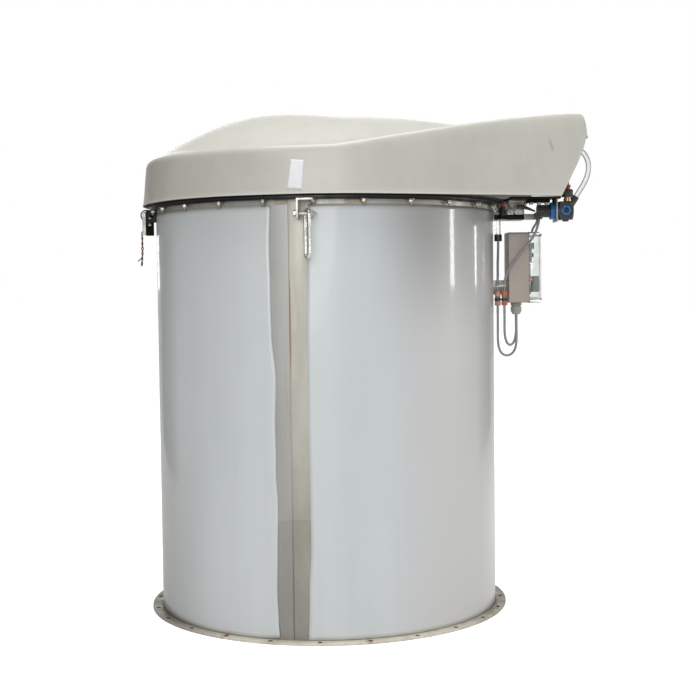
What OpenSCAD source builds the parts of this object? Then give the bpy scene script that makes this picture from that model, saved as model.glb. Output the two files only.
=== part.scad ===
// Silo dust filter: a round venting filter that stands on a silo roof. A rolled steel body with a bolted
// base flange holds seven hanging cartridges, and a moulded weather hood with an overhanging beak opens on
// a hinge.

/* [Body] */
// outer diameter of the rolled body
body_d = 800; // [500:10:1200]
// height from the floor to the underside of the top flange
body_h = 940; // [600:10:1400]
// sheet thickness of the body
body_wall = 2; // [1:0.5:4]

/* [Base flange] */
// reach of the base flange beyond the body
flange_lip = 25; // [15:1:60]
// thickness of the base flange
flange_t = 5; // [3:0.5:12]
// distance of the bolt holes from the edge of the flange
hole_inset = 12; // [8:0.5:25]
// number of bolt holes in the base flange
flange_holes = 24; // [8:4:36]
// diameter of a bolt hole
flange_hole_d = 10; // [6:0.5:18]
// bearing of the first bolt hole
flange_phase = 12; // [0:0.5:45]

/* [Top stack] */
// reach of the top flange, tube sheet and gasket beyond the body
top_lip = 15.5; // [10:0.5:25]
// reach of the top flange inside the body
top_in = 18; // [6:1:40]
// thickness of the top flange
top_t = 4; // [2:0.5:10]
// thickness of the tube sheet
sheet_t = 3; // [2:0.5:10]
// thickness of the rubber gasket
gasket_t = 2.5; // [1:0.5:8]
// width of the rubber gasket
gasket_w = 43.5; // [25:0.5:60]

/* [Cartridges] */
// air gap between two cartridges and between a cartridge and the body
cart_gap = 50; // [25:1:70]
// depth of a pleat
pleat_depth = 13; // [6:1:25]
// number of pleats
pleats = 36; // [20:2:60]
// wall of a cartridge from its outside to the clear bore
cart_wall = 41; // [30:1:50]
// height of the cartridge end above the floor
cart_z = 170; // [60:10:500]
// thickness of a cartridge end cap
cap_t = 12; // [4:1:30]
// height of a collar above the tube sheet
collar_h = 9; // [4:1:20]
// wall of the cartridge neck in the tube sheet
neck_wall = 16; // [6:1:30]

/* [Hood] */
// reach of the hood rim beyond the body
hood_over = 30; // [20:1:60]
// wall thickness of the moulded hood
hood_wall = 4; // [2:0.5:8]
// convergence of each side wall towards the beak
beak_taper = 19; // [8:0.5:30]
// reach of the beak beyond the body at the rim
beak_out = 119; // [90:1:180]
// reach of the beak beyond the body at its lip
lip_out = 191; // [140:1:260]
// height of the lip above the rim
lip_rise = 133; // [60:1:220]
// inward draft of the walls
hood_draft = 0.09; // [0:0.01:0.3]
// height of the crease above the rim at the round end
crease_low = 98; // [40:1:180]
// height of the crease above the rim at the tip of the beak
crease_high = 184; // [60:1:260]
// distance from the axis where the crease starts to climb
climb_from = 17; // [-100:1:150]
// distance from the lip where the crease is level again
climb_short = 20; // [5:1:60]
// height of the dome above the low crease
dome_rise = 116; // [60:1:200]
// distance of the crown from the axis
crown_x = -95; // [-160:1:60]
// shoulder height at the round end
shoulder_low = 16; // [6:1:50]
// shoulder height along the beak
shoulder_high = 45; // [10:1:60]
// width of the shoulder
shoulder_in = 10; // [4:1:30]

/* [Hood frame] */
// thickness of the steel ring inside the hood
frame_t = 4; // [2:0.5:10]
// thickness of the hinge plate on the ring
plate_t = 5; // [3:0.5:10]

/* [Air tank] */
// diameter of the air tank under the hood
tank_d = 110; // [60:5:140]
// distance of the tank axis inside the body wall
tank_in = 100; // [80:1:140]
// height of the tank axis above the rim
tank_rise = 80; // [70:1:100]
// length of the tank
tank_l = 450; // [300:10:500]

/* [Hinge] */
// distance of the hinge pin from the body wall
pin_out = 62; // [50:1:90]
// depth of the hinge pin below the top of the body
pin_drop = 8; // [4:1:14]
// diameter of the hinge pin
pin_d = 10; // [6:0.5:16]
// radius of the hinge eyes
eye_r = 13; // [9:0.5:20]
// thickness of the hinge arms and ears
ear_t = 5; // [3:0.5:10]
// inner face of the moving arms
arm_y = 18; // [10:1:60]
// air gap between arm and ear
ear_gap = 3; // [1:0.5:6]

/* [Lifting points] */
// bearing of the front lifting bracket, mirrored at the back
lug_az = -95.5; // [-130:0.5:-60]
// distance of the lifting pin from the body wall
lug_out = 30; // [24:1:60]
// depth of the lifting pin below the top of the body
lug_drop = 31; // [24:1:60]
// width of the lifting bracket
lug_w = 35; // [30:1:60]
// plate thickness of the bracket
lug_t = 4; // [3:0.5:8]
// diameter of the lifting pin
lug_pin_d = 8; // [6:0.5:14]
// bar diameter of the link
link_bar = 6; // [4:0.5:10]
// outer width of the link
link_w = 27; // [22:1:40]
// outer length of the link
link_h = 106; // [60:1:160]

/* [Control box] */
// gap between the box and the body
box_out = 35; // [20:1:60]
// depth of the box base
box_base_x = 48; // [30:1:90]
// depth of the clear lid
box_lid_x = 29; // [15:1:60]
// width of the box
box_w = 80; // [50:1:160]
// height of the box
box_h = 167; // [90:1:240]
// depth of the box below the top of the body
box_drop = 60; // [50:1:120]
// sideways position of the box centre
box_y = -10; // [-60:1:60]
// corner radius of the box
box_r = 6; // [2:0.5:15]

/* [Regulator] */
// sideways position of the regulator
reg_y = -105; // [-140:1:-90]
// depth of the regulator axis below the top of the body
reg_drop = 14; // [8:1:30]
// distance of the knob from the body wall
reg_out = 93; // [80:1:130]
// body diameter of the regulator
reg_d = 42; // [28:1:60]
// width of the regulator plate
reg_plate_w = 54; // [40:1:90]

/* [Latch] */
// distance of the latch bracket from the body wall
latch_out = 29; // [20:1:50]
// height of the latch bracket
latch_h = 56; // [40:1:90]
// width of the latch bracket
latch_w = 40; // [30:1:70]
// plate thickness of the latch bracket
latch_t = 3; // [2:0.5:6]

/* [Lines] */
// diameter of the grey lines
line_d = 6; // [4:0.5:10]
// diameter of the clear air tube
tube_d = 12; // [8:0.5:16]
// diameter of the tie wire
wire_d = 3; // [2:0.5:5]

/* [Hidden] */
$fn = 96;

body_r = body_d / 2;
flange_r = body_r + flange_lip;
top_r = body_r + top_lip;
gasket_r = top_r - gasket_w;
hood_r = body_r + hood_over;
beak_rim = body_r + beak_out;
beak_lip = body_r + lip_out;
climb_len = beak_lip - climb_short - climb_from;
tank_x = body_r - tank_in;
pin_x = body_r + pin_out;
pin_z = body_h - pin_drop;
bar_z = pin_z - eye_r - 5;
bar_t = 4;
lug_r = body_r + lug_out;
lug_z = body_h - lug_drop;
box_x = body_r + box_out;
box_z = body_h - box_drop - box_h;
reg_x = body_r + reg_out;
reg_z = body_h - reg_drop;
reg_half = reg_plate_w / 2;
sheet_z = body_h + top_t;
gasket_z = sheet_z + sheet_t;
rim_z = gasket_z + gasket_t;
seat = 0.2;
cart_top = sheet_z;
cart_d = (body_r - 2 * cart_gap) / 1.5;
cart_ring = cart_d + cart_gap;
cart_bore = cart_d - 2 * cart_wall;
cart_at = concat([[0, 0]], [for (k = [0:5]) [cart_ring * cos(60 * k + 30), cart_ring * sin(60 * k + 30)]]);
neck_d = cart_bore + 2 * neck_wall;
top_z = rim_z + frame_t;

// bearings round the hood: close together at the corners of the beak
th_lip = atan(side_y(beak_lip, lip_rise) / beak_lip);
th_rim = atan(side_y(beak_rim, 0) / beak_rim);
half_th = concat([for (k = [0:4]) (th_lip - 4) * k / 4], [th_lip - 1.5],
  [for (k = [0:6]) th_lip + (th_rim - th_lip) * k / 6], [for (a = [th_rim + 2:3:44]) a],
  [for (a = [47:4.3:176]) a]);
hood_th = concat(half_th, [180], [for (i = [len(half_th) - 1:-1:1]) -half_th[i]]);
blend = 40;
face_az = 90 - beak_taper;

function soft(a, b) = pow(pow(1 / a, blend) + pow(1 / b, blend), -1 / blend);
function round_r(th, r) = abs(th) >= face_az ? r : r / cos(face_az - abs(th));
function side_y(x, rise) = (hood_r - hood_draft * rise - x * sin(beak_taper)) / cos(beak_taper);
function end_x(z, t) = beak_lip - t + (lip_rise - (z - rim_z)) * 0.12;
// foot of the wall: the rim, then up the slanted edge of the mouth to the lip
function foot_z(th) = let(c = cos(max(0, face_az - abs(th))), reach = hood_r * cos(th) / c - beak_rim,
    rate = (beak_lip - beak_rim) / lip_rise + hood_draft * cos(th) / c)
  abs(th) > th_rim ? rim_z : rim_z + min(lip_rise, max(0, reach / rate));
function plan_r(th, z, t) = let(r = round_r(th, hood_r - t - hood_draft * (z - rim_z)))
  cos(th) > 0.25 ? soft(r, end_x(z, t) / cos(th)) : r;
function climb(x) = let(u = (x - climb_from) / climb_len)
  1 - pow(1 - min(1, (sqrt(u * u + 0.0036) + u) / 2), 1.38);
function ramp_z(x) = rim_z + crease_low + (crease_high - crease_low) * climb(x);
// roof: a dome that runs smoothly into the rising ramp of the beak, q = 1 at the crease and 0 at the crown
function roof_z(q, x) = let(a = rim_z + crease_low + dome_rise * (1 - q * q), b = ramp_z(x))
  (a + b + sqrt((a - b) * (a - b) + 100)) / 2;

// one meridian of the hood, from its foot to just short of the crown, t inside the outer face
function meridian(th, t, nw, ns, nr) = let(
    rough = ramp_z(plan_r(th, rim_z + 110, 0) * cos(th)),
    zc = roof_z(1, (plan_r(th, rough, 0) - shoulder_in) * cos(th)),
    rc = plan_r(th, zc, t),
    ri = rc - shoulder_in,
    k = min(1, max(0, (zc - rim_z - crease_low) / (crease_high - crease_low))),
    zf = foot_z(th),
    rs = min(shoulder_low + (shoulder_high - shoulder_low) * k, 0.6 * (zc - zf)),
    rise = (roof_z(0.97, 0.97 * ri * cos(th) + 0.03 * crown_x) - zc) / (0.03 * ri),
    p0 = [plan_r(th, zc - rs, t), zc - rs - t, 0],
    p1 = [rc, zc - shoulder_in * rise - t, 0],
    p2 = [ri, zc - t, 0],
    wall = [for (i = [0:nw - 1]) let(z = zf + (zc - rs - zf) * i / nw) [plan_r(th, z, t), z - t * i / nw, 0]],
    bend = [for (i = [0:ns]) let(u = i / ns) (1 - u) * (1 - u) * p0 + 2 * u * (1 - u) * p1 + u * u * p2],
    roof = [for (i = [1:nr - 1]) let(q = 1 - i / nr, sh = (1 - q) * crown_x)
      [q * ri, roof_z(q, q * ri * cos(th) + sh) - t, sh]]
  ) concat(wall, bend, roof);

// closed thin shell: outer skin, inner skin and the rim between them
module skin_shell(ths, nw, ns, nr, mw, ms, mr, t) {
  n = len(ths);
  a = nw + ns + nr;
  b = mw + ms + mr;
  out = [for (th = ths) for (p = meridian(th, 0, nw, ns, nr)) [p[0] * cos(th) + p[2], p[0] * sin(th), p[1]]];
  inn = [for (th = ths) for (p = meridian(th, t, mw, ms, mr)) [p[0] * cos(th) + p[2], p[0] * sin(th), p[1]]];
  crown = [crown_x, 0, roof_z(0, crown_x)];
  poles = [crown, crown - [0, 0, t]];
  pts = concat(out, inn, poles);
  i0 = n * a;
  pole_o = n * a + n * b;
  faces_o = [for (i = [0:n - 1]) let(j = (i + 1) % n) for (k = [0:a - 2]) each
    [[i * a + k, i * a + k + 1, j * a + k + 1], [i * a + k, j * a + k + 1, j * a + k]]];
  faces_i = [for (i = [0:n - 1]) let(j = (i + 1) % n) for (k = [0:b - 2]) each
    [[i0 + i * b + k, i0 + j * b + k + 1, i0 + i * b + k + 1],
     [i0 + i * b + k, i0 + j * b + k, i0 + j * b + k + 1]]];
  caps = [for (i = [0:n - 1]) let(j = (i + 1) % n) each
    [[i * a + a - 1, pole_o, j * a + a - 1], [i0 + i * b + b - 1, i0 + j * b + b - 1, pole_o + 1]]];
  rims = [for (i = [0:n - 1]) let(j = (i + 1) % n) each
    [[i * a, j * a, i0 + j * b], [i * a, i0 + j * b, i0 + i * b]]];
  polyhedron(points = pts, faces = concat(faces_o, faces_i, caps, rims), convexity = 6);
}

// tube swept along a smooth route through the given points
function unit(v) = v / norm(v);
function spline(p, i, u) = let(a = p[max(0, i - 1)], b = p[i], c = p[i + 1], d = p[min(len(p) - 1, i + 2)])
  0.5 * ((2 * b) + (c - a) * u + (2 * a - 5 * b + 4 * c - d) * u * u + (3 * b - a - 3 * c + d) * u * u * u);
function route(p, m) = concat([for (i = [0:len(p) - 2]) for (k = [0:m - 1]) spline(p, i, k / m)],
  [p[len(p) - 1]]);
function heading(r, i) = let(n = len(r)) unit(r[min(n - 1, i + 1)] - r[max(0, i - 1)]);
function flat_of(v, t) = unit(v - (v * t) * t);
function carry(r, i, v) = i == 0 ? [flat_of(v, heading(r, 0))]
  : let(prev = carry(r, i - 1, v)) concat(prev, [flat_of(prev[i - 1], heading(r, i))]);
module sweep(p, m, d, sides, ref) {
  r = route(p, m);
  n = len(r);
  us = carry(r, n - 1, ref);
  pts = [for (i = [0:n - 1]) let(t = heading(r, i), u = us[i], v = cross(t, u))
    for (k = [0:sides - 1]) r[i] + d / 2 * (cos(360 * k / sides) * u + sin(360 * k / sides) * v)];
  walls = [for (i = [0:n - 2]) for (k = [0:sides - 1]) let(l = (k + 1) % sides) each
    [[i * sides + k, (i + 1) * sides + l, i * sides + l],
     [i * sides + k, (i + 1) * sides + k, (i + 1) * sides + l]]];
  ends = [[for (k = [0:sides - 1]) k], [for (k = [sides - 1:-1:0]) (n - 1) * sides + k]];
  polyhedron(points = pts, faces = concat(walls, ends), convexity = 8);
}

module ring(ro, ri, h) {
  difference() {
    cylinder(r = ro, h = h);
    translate([0, 0, -1]) cylinder(r = ri, h = h + 2);
  }
}

module rounded(x, y, z, r) {
  linear_extrude(height = z) union() {
    translate([r, 0]) square([x - 2 * r, y]);
    translate([0, r]) square([x, y - 2 * r]);
    for (a = [r, x - r]) for (b = [r, y - r]) translate([a, b]) circle(r = r, $fn = 32);
  }
}

module plate_xz(pts, y, t) {
  translate([0, y + t, 0]) rotate([90, 0, 0]) linear_extrude(height = t) polygon(pts);
}

module rod_x(x, y, z, d, l) {
  translate([x, y, z]) rotate([0, 90, 0]) cylinder(d = d, h = l, $fn = 48);
}

module rod_y(x, y, z, d, l) {
  translate([x, y, z]) rotate([-90, 0, 0]) cylinder(d = d, h = l, $fn = 48);
}

module body_shell() {
  color("silver") ring(body_r, body_r - body_wall, body_h);
}

module base_flange() {
  color("tan") difference() {
    ring(flange_r, body_r, flange_t);
    for (k = [0:flange_holes - 1]) rotate(flange_phase + k * 360 / flange_holes)
      translate([flange_r - hole_inset, 0, -1]) cylinder(d = flange_hole_d, h = flange_t + 2, $fn = 32);
  }
}

module top_flange() {
  color("dimgray") translate([0, 0, body_h]) ring(top_r, body_r - top_in, top_t);
}

module tube_sheet() {
  color("gainsboro") translate([0, 0, sheet_z]) difference() {
    cylinder(r = top_r, h = sheet_t);
    for (c = cart_at) translate([c[0], c[1], -1]) cylinder(d = neck_d, h = sheet_t + 2);
  }
}

module rim_gasket() {
  color("black") translate([0, 0, gasket_z]) ring(top_r, gasket_r, gasket_t);
}

module cartridge_media() {
  color("ivory") for (c = cart_at) translate([c[0], c[1], cart_z])
    linear_extrude(height = cart_top - cart_z) polygon([for (k = [0:2 * pleats - 1])
      let(r = k % 2 == 0 ? cart_d / 2 : cart_d / 2 - pleat_depth)
      [r * cos(180 * k / pleats), r * sin(180 * k / pleats)]]);
}

module cartridge_collars() {
  color("black") for (c = cart_at) translate([c[0], c[1], sheet_z]) difference() {
    union() {
      cylinder(d = neck_d - 2 * seat, h = sheet_t + 1);
      translate([0, 0, sheet_t]) cylinder(d = cart_d - 10, h = collar_h);
    }
    translate([0, 0, -1]) cylinder(d = cart_bore, h = sheet_t + collar_h + 2);
  }
}

module cartridge_caps() {
  color("black") for (c = cart_at) translate([c[0], c[1], cart_z - cap_t])
    cylinder(d = cart_d + 4, h = cap_t);
}

module hood() {
  color("lightgray") skin_shell(hood_th, 5, 5, 10, 3, 3, 6, hood_wall);
}

module rim_plan(t) {
  polygon([for (th = hood_th) let(r = plan_r(th, rim_z, t)) [r * cos(th), r * sin(th)]]);
}

module hood_frame() {
  color("silver") translate([0, 0, rim_z]) linear_extrude(height = frame_t) difference() {
    intersection() {
      rim_plan(hood_wall + 0.5);
      circle(r = hood_r - hood_wall);
    }
    circle(r = gasket_r);
  }
}

boss_x = tank_x + tank_d / 2 + 12;
boss_y = reg_y - 30;
tank_z = rim_z + tank_rise;

// air tank lying across the hood, with the boss that takes the air tube
module air_tank() {
  color("silver") union() {
    rod_y(tank_x, -tank_l / 2, tank_z, tank_d, tank_l);
    rod_x(tank_x, boss_y, tank_z, tube_d + 8, boss_x - tank_x);
  }
}

saddle_w = 0.55 * tank_d;

module tank_brackets() {
  color("silver") for (y = [-tank_l / 2 - frame_t, tank_l / 2])
    translate([tank_x - saddle_w / 2, y, top_z]) cube([saddle_w, frame_t, tank_z - top_z + saddle_w / 3]);
}

tongue_w = 2 * (arm_y + 2 * ear_t + ear_gap + 14);

// plate on the ring: hinge tongue in the middle, side arm reaching out to the regulator
module hinge_plate() {
  color("black") translate([0, 0, top_z]) linear_extrude(height = plate_t) union() {
    translate([gasket_r + 20, -tongue_w / 2]) square([pin_x + 10 - gasket_r - 20, tongue_w]);
    translate([hood_r - 2, reg_y - reg_half])
      square([pin_x + 12 - hood_r, reg_half - reg_y - tongue_w / 2 + 3]);
    translate([pin_x + 5, reg_y - reg_half]) square([reg_body_x + 3 - pin_x, reg_plate_w]);
  }
}

module eye_plate(pts, y, t) {
  difference() {
    union() {
      plate_xz(pts, y, t);
      rod_y(pin_x, y, pin_z, 2 * eye_r, t);
    }
    rod_y(pin_x, y - 1, pin_z, pin_d + 0.6, t + 2);
  }
}

module hinge_arms() {
  color("tan") for (y = [arm_y, -arm_y - ear_t])
    eye_plate([[pin_x - 2 * eye_r, top_z], [pin_x + 9, top_z], [pin_x + eye_r, pin_z],
      [pin_x - eye_r, pin_z]], y, ear_t);
}

module hinge_bracket() {
  out_y = arm_y + ear_t + ear_gap;
  in_x = body_r - 20;
  color("tan") difference() {
    union() {
      for (y = [out_y, -out_y - ear_t])
        eye_plate([[in_x, bar_z], [pin_x + eye_r, bar_z], [pin_x + eye_r, pin_z], [pin_x - 20, body_h],
          [in_x, body_h]], y, ear_t);
      translate([in_x, -out_y - ear_t, bar_z - bar_t])
        cube([pin_x + eye_r - in_x, 2 * (out_y + ear_t), bar_t + 0.5]);
      translate([pin_x + eye_r - 1, -out_y - ear_t, bar_z - bar_t]) cube([38, ear_t, clip_h - 2]);
    }
    translate([0, 0, bar_z - 20]) cylinder(r = body_r + seat, h = 80);
  }
}

module hinge_pin() {
  out_y = arm_y + ear_t + ear_gap + ear_t;
  color("silver") union() {
    rod_y(pin_x, -out_y - 6, pin_z, pin_d, 2 * out_y + 12);
    rod_y(pin_x, -out_y - 6, pin_z, pin_d + 8, 5.7);
    rod_y(pin_x, out_y + 0.3, pin_z, pin_d + 8, 5.7);
  }
}

lug_in = 17;

// angle bracket under the top flange, with the hole for the lifting pin
module lug() {
  color("tan") difference() {
    union() {
      translate([body_r - 10, -lug_in, body_h - lug_t]) cube([lug_out + 24, lug_w, lug_t]);
      translate([body_r - 10, -lug_in, lug_z - 12]) cube([lug_out + 24, lug_t, lug_drop + 12]);
    }
    translate([0, 0, lug_z - 40]) cylinder(r = body_r + seat, h = lug_drop + 80);
    rod_y(lug_r, -lug_in - 10, lug_z, lug_pin_d + 0.6, lug_t + 20);
  }
}

module lug_pin() {
  color("silver") union() {
    rod_y(lug_r, -lug_in - 7, lug_z, lug_pin_d, lug_w + 9);
    rod_y(lug_r, -lug_in - 7, lug_z, lug_pin_d + 7, 6.7);
    rod_y(lug_r, lug_w - lug_in - 2, lug_z, lug_pin_d + 7, 5);
  }
}

// long round-bar loop hung on the lifting pin
module link() {
  w = link_w / 2 - link_bar / 2;
  top = lug_pin_d / 2 + 0.3 + link_bar / 2;
  span = link_h - link_bar - 2 * w;
  color("dimgray") translate([lug_r, 4, lug_z]) rotate(30) union() {
    translate([0, 0, top - w]) rotate([90, 0, 0])
      rotate_extrude(angle = 180, $fn = 48) translate([w, 0]) circle(d = link_bar, $fn = 24);
    translate([0, 0, top - w - span]) rotate([90, 0, 0]) rotate(180)
      rotate_extrude(angle = 180, $fn = 48) translate([w, 0]) circle(d = link_bar, $fn = 24);
    for (x = [-w, w]) translate([x, 0, top - w - span]) cylinder(d = link_bar, h = span, $fn = 24);
  }
}

module lug_front() {
  rotate(lug_az) lug();
}

module lug_back() {
  mirror([0, 1, 0]) rotate(lug_az) lug();
}

module lug_pin_front() {
  rotate(lug_az) lug_pin();
}

module lug_pin_back() {
  mirror([0, 1, 0]) rotate(lug_az) lug_pin();
}

module link_front() {
  rotate(lug_az) link();
}

module link_back() {
  mirror([0, 1, 0]) rotate(lug_az) link();
}

latch_x = -body_r - latch_out;
latch_z = body_h - latch_h;
wire_z = latch_z + 11;

module latch_bracket() {
  color("tan") difference() {
    union() {
      translate([latch_x, -latch_w / 2, body_h - latch_t]) cube([latch_out + 6, latch_w, latch_t]);
      translate([latch_x, -latch_w / 2, latch_z]) cube([latch_t, latch_w, latch_h]);
      translate([latch_x, latch_w / 2 - latch_t, latch_z]) cube([17, latch_t, latch_h]);
    }
    translate([0, 0, latch_z - 10]) cylinder(r = body_r + seat, h = latch_h + 20);
    rod_x(latch_x - 6, 0, wire_z, wire_d + 0.8, 20);
  }
}

module latch_lug() {
  ear_h = 29;
  ear_y = -latch_w / 2 - 52;
  color("tan") difference() {
    translate([-body_r - 18, ear_y, body_h - ear_h]) cube([30, latch_t, ear_h]);
    translate([0, 0, body_h - ear_h - 10]) cylinder(r = body_r + seat, h = ear_h + 20);
    rod_y(-body_r - 8, ear_y - 8, body_h - ear_h + 13, 10, 20);
  }
}

// points of the tie wire: through the latch bracket, over its edge and down
wire_pts = [[latch_x + 6, 0, wire_z], [latch_x - 1, 0, wire_z], [latch_x - 7, -1, wire_z - 2],
  [latch_x - 9, -1, wire_z - 9], [latch_x - 9, -2, wire_z - 18], [latch_x - 9, -2, wire_z - 32],
  [latch_x - 9, -3, wire_z - 56], [latch_x - 11, -4, wire_z - 84]];

module tie_wire() {
  color("sienna") sweep(wire_pts, 2, wire_d, 8, [0, 1, 0]);
}

module box_bracket() {
  color("tan") difference() {
    translate([body_r - 10, box_y - 15, box_z + 20]) cube([box_out + 10, 30, 34]);
    translate([0, 0, box_z]) cylinder(r = body_r + seat, h = 100);
  }
}

module box_slab(x, l, inset) {
  translate([x, box_y - box_w / 2 + inset, box_z + inset]) rotate([90, 0, 90])
    rounded(box_w - 2 * inset, box_h - 2 * inset, l, box_r);
}

module box_base() {
  color("gray") box_slab(box_x, box_base_x, 0);
}

module box_lid() {
  color("lightcyan") difference() {
    box_slab(box_x + box_base_x, box_lid_x, 0);
    box_slab(box_x + box_base_x - 1, box_lid_x - 2, 3);
  }
}

// rows of parts on the board: start and height as shares of the box height, then width and depth shares
board_rows = [[0.15, 0.2, 0.62, 0.62], [0.45, 0.13, 0.37, 0.48], [0.72, 0.14, 0.6, 0.55]];
board_t = 3;

module box_board() {
  x = box_x + box_base_x;
  color("black") union() {
    translate([x, box_y - 0.375 * box_w, box_z + 0.085 * box_h]) cube([board_t, 0.75 * box_w, 0.83 * box_h]);
    for (r = board_rows) translate([x + board_t - 1, box_y - 0.325 * box_w, box_z + r[0] * box_h])
      cube([r[3] * box_lid_x, r[2] * box_w, r[1] * box_h]);
  }
}

gland_x = box_x + 22;
gland_y = box_y;

module box_gland() {
  color("dimgray") translate([gland_x, gland_y, box_z - 28]) difference() {
    union() {
      cylinder(d = 21, h = 28, $fn = 48);
      translate([0, 0, 16]) cylinder(d = 26, h = 8, $fn = 6);
    }
    for (y = [-4, 4]) translate([0, y, -1]) cylinder(d = line_d + 0.6, h = 13, $fn = 24);
  }
}

clip_x = pin_x + 36;
clip_h = 16;
clip_z = bar_z - bar_t;

module line_clip() {
  out_y = arm_y + 2 * ear_t + ear_gap;
  color("black") translate([clip_x, -out_y - 39, clip_z]) cube([14, 39, clip_h]);
}

// straight clear sleeve under the hinge bracket and the black reducer below it
sleeve_x = body_r + 13;
sleeve_y = -22;
sleeve_l = 34;
reducer_h = 16;
reducer_z = clip_z - sleeve_l - reducer_h;

module clear_sleeve() {
  color("lightcyan") translate([sleeve_x, sleeve_y, clip_z - sleeve_l])
    cylinder(d = tube_d, h = sleeve_l, $fn = 48);
}

module sleeve_reducer() {
  color("black") translate([sleeve_x, sleeve_y, reducer_z])
    cylinder(d = tube_d + 6, h = reducer_h, $fn = 48);
}

// routes of the grey lines, from the top edge of the body: past the unions beside the box, then in a loop
// up into the gland, and one short line into the top of the box
union_h = 34;
union_z = body_h - 233;
left_x = body_r + 8;
right_x = body_r + 24;
line_y = -46;
clip_y = -62;
gland_in = box_z - 17;
top_edge = [body_r, 0, body_h];
left_pts = concat([[sleeve_x, sleeve_y, reducer_z - 0.4]],
  [for (p = [[13, -22, -94], [12, -25, -115], [10, -34, -137], [9, -43, -158], [8, -46, -179], [8, -46, -215],
    [8, -46, -250], [8, -46, -287], [8, -46, -322], [15, -41, -345], [32, -30, -354], [50, -19, -345],
    [57, -14, -322], [57, -14, -296]]) top_edge + p], [[gland_x, gland_y - 4, gland_in]]);
right_pts = concat([[clip_x + 7, clip_y, clip_z - 0.4]],
  [for (p = [[95, -61, -68], [64, -59, -105], [36, -57, -141], [25, -51, -170], [24, -46, -196],
    [24, -46, -225], [24, -46, -250], [24, -46, -275], [24, -46, -300], [29, -40, -320], [40, -26, -329],
    [52, -12, -320], [57, -6, -300], [57, -6, -278]]) top_edge + p], [[gland_x, gland_y + 4, gland_in]]);
top_pts = concat([[clip_x + 5, clip_y + 17, clip_z - 0.4]],
  [for (p = [[102, -43, -38], [98, -38, -45], [94, -34, -52]]) top_edge + p],
  [[box_x + 58, box_y - 22, box_z + box_h + 0.4]]);

module line_unions() {
  color("dimgray") for (x = [left_x, right_x]) translate([x, line_y, union_z]) difference() {
    cylinder(d = line_d + 7, h = union_h, $fn = 48);
    translate([0, 0, -1]) cylinder(d = line_d + 1, h = union_h + 2, $fn = 24);
  }
}

module line_left() {
  color("gray") sweep(left_pts, 1, line_d, 8, [0, 1, 0]);
}

module line_right() {
  color("gray") sweep(right_pts, 1, line_d, 8, [0, 1, 0]);
}

module line_top() {
  color("gray") sweep(top_pts, 2, line_d, 8, [1, 0, 0]);
}

knob_l = 30;
knob_d = 0.7 * reg_d;
flutes = 16;
reg_split = reg_x + knob_l;
reg_ring_l = 11;
reg_plate_t = 3;
reg_body_x = reg_split + reg_ring_l + reg_plate_t;

module regulator_plate() {
  color("tan") difference() {
    translate([reg_body_x - reg_plate_t, reg_y - reg_half, reg_z - 26])
      cube([reg_plate_t, reg_plate_w, top_z - reg_z + 26]);
    rod_x(reg_split, reg_y, reg_z, 24, reg_ring_l + 12);
  }
}

// hose tail: leans out of the body top behind the push-in fitting
tail_lean = 33;
tail_l = 40;
tail_at = [reg_body_x + 27, reg_y + 12, reg_z];

module regulator_body() {
  color("black") union() {
    rod_x(reg_body_x, reg_y, reg_z, reg_d, 38);
    translate([reg_body_x + 21, reg_y - 8, reg_z - reg_d / 2 - 4]) cylinder(d = 14, h = 6, $fn = 48);
    translate([reg_body_x + 6, reg_y - reg_d / 2, reg_z - reg_d / 2]) cube([26, reg_d, reg_d]);
    translate(tail_at) rotate([0, tail_lean, 0]) cylinder(d = tube_d + 5, h = tail_l, $fn = 48);
  }
}

module regulator_ring() {
  color("royalblue") rod_x(reg_split, reg_y, reg_z, reg_d - 2, reg_ring_l);
}

module regulator_knob() {
  color("black") difference() {
    rod_x(reg_x, reg_y, reg_z, knob_d, knob_l);
    for (k = [0:flutes - 1]) let(a = 360 * k / flutes)
      rod_x(reg_x - 1, reg_y + knob_d / 2 * cos(a), reg_z + knob_d / 2 * sin(a), 2.6, knob_l - 3);
  }
}

module regulator_port() {
  color("royalblue") translate([reg_body_x + 19, reg_y - reg_d / 2, reg_z]) rotate([90, 0, 0]) difference() {
    cylinder(d = 24, h = 9, $fn = 6);
    translate([0, 0, -1]) cylinder(d = 13, h = 11, $fn = 32);
  }
}

elbow_at = [reg_body_x + 25, reg_y - 9, reg_z + reg_d / 2];

// push-in fitting on top of the regulator
module tube_elbow() {
  color("black") translate(elbow_at) union() {
    cylinder(d = 13, h = 24, $fn = 6);
    translate([0, 0, 14]) cylinder(d = 20, h = 24, $fn = 48);
  }
}

module elbow_ring() {
  color("firebrick") translate(elbow_at + [0, 0, 38]) cylinder(d = 15, h = 5, $fn = 48);
}

// route of the clear air tube: out of the hose tail, round under the lip and in to the tank boss
tube_dir = [sin(tail_lean), 0, cos(tail_lean)];
tube_from = tail_at + (tail_l + 0.4) * tube_dir;
tube_pts = concat([tube_from, tube_from + 22 * tube_dir],
  [for (p = [[210, -93, 58], [217, -96, 83], [212, -103, 108], [194, -112, 127], [169, -121, 134],
    [142, -128, 128], [113, -133, 114], [80, -135, 101]]) top_edge + p],
  [[boss_x + 72, boss_y, tank_z + 3], [boss_x + 34, boss_y, tank_z], [boss_x + 0.4, boss_y, tank_z]]);

module air_tube() {
  color("lightcyan") sweep(tube_pts, 2, tube_d, 10, [0, 1, 0]);
}

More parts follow.
